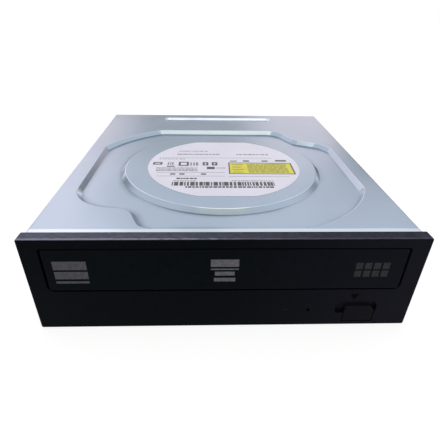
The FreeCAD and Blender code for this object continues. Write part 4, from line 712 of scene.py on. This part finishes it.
# Depth of the groove below the crest, from the turns that have passed since the groove's middle
def thread_depth(turns):
    past = turns % 1.0
    return groove_depth * share(groove_reach - min(past, 1.0 - past), flank_reach)


# Rod along Y with its thread cut between two plain ends
def threaded_rod(start, end, plain_start, plain_end, step, around):
    points = [(0.0, start, 0.0)]
    rings = round((end - start) / step)
    for ring in range(rings + 1):
        along = start + (end - start) * ring / rings
        fade = share(along - start - plain_start, run_out) * share(end - plain_end - along, run_out)
        for i in range(around):
            angle = 2 * math.pi * i / around
            radius = screw_crest - fade * thread_depth(along / thread_lead + i / around)
            points.append((radius * math.cos(angle), along, radius * math.sin(angle)))
    points.append((0.0, end, 0.0))
    faces = []
    for i in range(around):
        j = (i + 1) % around
        faces.append((0, 1 + j, 1 + i))
        faces.append((len(points) - 1, 1 + rings * around + i, 1 + rings * around + j))
        for ring in range(rings):
            near = 1 + ring * around
            faces.append((near + i, near + j, near + around + j, near + around + i))
    return points, faces


rod = threaded_rod(screw_start, screw_end, plain_start=3.0, plain_end=4.0, step=0.16, around=24)
lowered = Matrix.Translation((screw_across * metres, pivot_along * metres, pivot_up * metres))
lowered = lowered @ Matrix.Rotation(math.asin(lift_sine), 4, "X")
lowered = lowered @ Matrix.Translation((0, -pivot_along * metres, (axis_up - pivot_up) * metres))
thread = make_piece("rolled_thread", [rod], ground_steel, "screw", lowered, 40)
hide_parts("lead_screw")


# Spindle stator: an iron core with enamelled copper windings, mostly hidden under the rotor can.
# The windings show as fine close turns of copper red.
windings = new_finish("windings", (0.55, 0.25, 0.1), 0.35, 0.6)
mottle(windings, (0.36, 0.15, 0.06), (0.64, 0.31, 0.13), 900.0, 3.0, (1, 1, 4))
grain(windings, 1500.0, 0.0001, 0.8)
dress(windings, "spindle_stator")


# Pickup: a die-cast alloy sled, as cast with a soft bright skin, that carries the laser parts.
# The lens sits in a black holder on its actuator, with a violet bloom from its coating.
cast_alloy = new_finish("cast_alloy", (0.55, 0.56, 0.58), 0.42, 1.0)
mottle(cast_alloy, (0.46, 0.47, 0.49), (0.59, 0.6, 0.62), 150.0)
grain(cast_alloy, 700.0, 0.00006, 0.6)
uneven_gloss(cast_alloy, 0.36, 0.5, 300.0)
dress(cast_alloy, "pickup_sled")
coated_glass = new_finish("coated_glass", (0.45, 0.5, 0.85), 0.05, Transmission_Weight=0.6, IOR=1.52)
mottle(coated_glass, (0.36, 0.42, 0.82), (0.55, 0.52, 0.88), 800.0)
dress(coated_glass, "pickup_lens")


# Clamper magnet: a ring of dark sintered ferrite in the cup of the clamping disc.
# Its skin is grey black, with a fine sandy grain.
ferrite = new_finish("ferrite", (0.08, 0.08, 0.085), 0.5, 0.4)
mottle(ferrite, (0.055, 0.055, 0.06), (0.11, 0.11, 0.115), 500.0)
grain(ferrite, 1800.0, 0.00003, 0.5)
dress(ferrite, "clamper_magnet")


# Boards: green lacquered glass-fibre boards under the deck of the loader frame.
# Small ceramic parts with soldered ends and three cans stand on their upper faces.
lacquer = new_finish("lacquer", (0.02, 0.09, 0.04), 0.35)
mottle(lacquer, (0.012, 0.07, 0.028), (0.03, 0.12, 0.05), 400.0, 2.0)
grain(lacquer, 2000.0, 0.00003, 0.4)
dress(lacquer, "main_board", "front_board")
board_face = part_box("main_board")[1][2] * millimetres
ceramic = new_finish("ceramic", (0.3, 0.2, 0.12), 0.55)
mottle(ceramic, (0.22, 0.145, 0.09), (0.36, 0.25, 0.15), 1500.0)
tinned = new_finish("tinned", (0.72, 0.71, 0.68), 0.25, 1.0)
mottle(tinned, (0.64, 0.63, 0.6), (0.77, 0.76, 0.74), 1200.0)
can_wrap = new_finish("can_wrap", (0.62, 0.63, 0.65), 0.3, 1.0)
mottle(can_wrap, (0.55, 0.56, 0.58), (0.66, 0.67, 0.69), 300.0)


# Ceramic part with its two soldered ends, lying across or along the board
def chip_part(across, along, length, width, high, turned_along):
    half = length / 2
    cap = length * 0.22
    side = width / 2

    def lying(first, last, grow):
        reach = side + grow
        top = board_face + high + grow
        if turned_along:
            return block(across - reach, across + reach, along + first, along + last, board_face, top)
        return block(across + first, across + last, along - reach, along + reach, board_face, top)

    solder = 0.03
    body = lying(-half + cap, half - cap, 0.0)
    return body, [lying(-half, -half + cap, solder), lying(half - cap, half, solder)]


# Rows of parts given as (across, along, count, pitch, turned along), with a place left empty here and there
chance = random.Random(12)
filled_share = 0.82
bodies = []
ends = []
rows = [(-14.0, 30.0, 7, 2.4, True), (-14.0, 36.0, 7, 2.4, True), (-8.0, 52.0, 9, 2.6, False),
        (12.0, 54.0, 7, 2.4, True), (-26.0, 10.0, 8, 2.8, True), (0.0, 12.0, 6, 2.6, False),
        (-24.0, -6.0, 6, 3.0, False), (8.0, -4.0, 7, 3.0, True), (-48.0, 62.0, 9, 3.0, False)]
for start, along, count, pitch, turned_along in rows:
    for i in range(count):
        if chance.random() < filled_share:
            length = chance.choice((1.6, 2.0))
            body, caps = chip_part(start + i * pitch, along, length, 0.85, 0.55, turned_along)
            bodies.append(body)
            ends += caps
for along in (-73.2, -71.6):
    for i in range(5):
        body, caps = chip_part(27.0 + i * 2.6, along, 1.6, 0.8, 0.5, False)
        bodies.append(body)
        ends += caps
make_piece("ceramic_parts", bodies, ceramic, "case")
make_piece("soldered_ends", ends, tinned, "case")
cans = []
foot = board_face + 0.4
foot_half = 2.15
can_top = board_face + 3.5
can_profile = [(0, foot), (2.0, foot), (2.0, foot + 0.5), (1.85, foot + 0.65), (2.0, foot + 0.8),
               (2.0, board_face + 3.4), (1.9, can_top), (0, can_top)]
for across, along in ((-28.0, 22.0), (28.0, 60.0), (-46.0, 50.0)):
    cans.append(block(across - foot_half, across + foot_half, along - foot_half, along + foot_half,
                      board_face, foot))
    cans.append(turned(can_profile, across, along))
make_piece("board_cans", cans, can_wrap, "case", smooth=30)


# Chips: black moulded packages with tinned gull-wing leads, soldered to the main board.
# The leads are 0.2 to 0.4 mm wide. The largest chip has them on all four sides, and the others on two.
package_black = new_finish("package_black", (0.02, 0.02, 0.022), 0.55)
mottle(package_black, (0.016, 0.016, 0.018), (0.027, 0.027, 0.029), 600.0)
grain(package_black, 2500.0, 0.00004, 0.5)
dress(package_black, "main_chip", "driver_chip", "memory_chip")


# Bent lead with its foot on the board, drawn as (out, up) from the side of the package
def gull_wing(across, along, facing, wide):
    reach = (math.cos(facing), math.sin(facing))
    aside = (-reach[1] * wide / 2, reach[0] * wide / 2)
    profile = [(-0.1, 0.62), (0.35, 0.62), (0.6, 0.12), (1.1, 0.12), (1.1, 0.0), (0.5, 0.0), (0.25, 0.5),
               (-0.1, 0.5)]
    points = []
    for side in (-1, 1):
        points += [(across + reach[0] * out + side * aside[0], along + reach[1] * out + side * aside[1],
                    board_face + up) for out, up in profile]
    return points, prism_faces(len(profile))


for name, pitch, wide, all_round in (("main_chip", 0.5, 0.22, True), ("driver_chip", 0.8, 0.34, False),
                                     ("memory_chip", 0.65, 0.28, False)):
    low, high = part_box(name)
    half = (high[0] - low[0]) / 2 * millimetres
    across = (low[0] + high[0]) / 2 * millimetres
    along = (low[1] + high[1]) / 2 * millimetres
    free_corners = 1.6
    count = round((2 * half - free_corners) / pitch)
    leads = []
    for side in range(4):
        if all_round or side % 2 == 0:
            facing = math.pi / 2 * side
            cosine = math.cos(facing)
            sine = math.sin(facing)
            for i in range(count):
                shift = (i - (count - 1) / 2) * pitch
                lead_across = across + half * cosine - shift * sine
                lead_along = along + half * sine + shift * cosine
                leads.append(gull_wing(lead_across, lead_along, facing, wide))
    make_piece(f"{name}_leads", leads, tinned, "case")


# Eject switch: a small black push switch at the edge of the front board, behind the button.
# The same black glass-filled moulding makes the lens holder on the pickup.
switch_black = new_finish("switch_black", (0.02, 0.02, 0.022), 0.45)
mottle(switch_black, (0.015, 0.015, 0.017), (0.03, 0.03, 0.032), 1100.0)
grain(switch_black, 1600.0, 0.00003, 0.4)
dress(switch_black, "eject_switch", "lens_holder")


# Data and power plug: black glass-filled moulding soldered to the rear edge of the main board.
# Gold-flashed contacts lie on the two tongues, and their tinned tails come down in front of the block.
plug_black = new_finish("plug_black", (0.018, 0.018, 0.02), 0.42)
mottle(plug_black, (0.013, 0.013, 0.015), (0.028, 0.028, 0.03), 1100.0)
grain(plug_black, 1600.0, 0.00003, 0.4)
dress(plug_black, "sata_connector")
gold_flash = new_finish("gold_flash", (0.83, 0.58, 0.22), 0.22, 1.0)
mottle(gold_flash, (0.76, 0.52, 0.18), (0.88, 0.64, 0.27), 1400.0)
plug_low, plug_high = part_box("sata_connector")
tongue_face = board_face + 3.8
tongue_root = plug_high[1] * millimetres - 6.1
block_front = plug_low[1] * millimetres
contact_pitch = 1.27
contact_half = 0.4
long_reach = 5.4
short_reach = 4.9
contact_foot = tongue_face - 0.05
contact_face = tongue_face + 0.03
contacts = []
tails = []
for middle, count in ((-41.8, 15), (-20.2, 7)):
    for i in range(count):
        across = middle + (i - (count - 1) / 2) * contact_pitch
        tip = tongue_root + (long_reach if i % 3 == 0 else short_reach)
        contacts.append(block(across - contact_half, across + contact_half, tongue_root - 0.2, tip,
                              contact_foot, contact_face))
        tails.append(gull_wing(across, block_front, -math.pi / 2, 0.4))
make_piece("plug_contacts", contacts, gold_flash, "case")
make_piece("plug_tails", tails, tinned, "case")
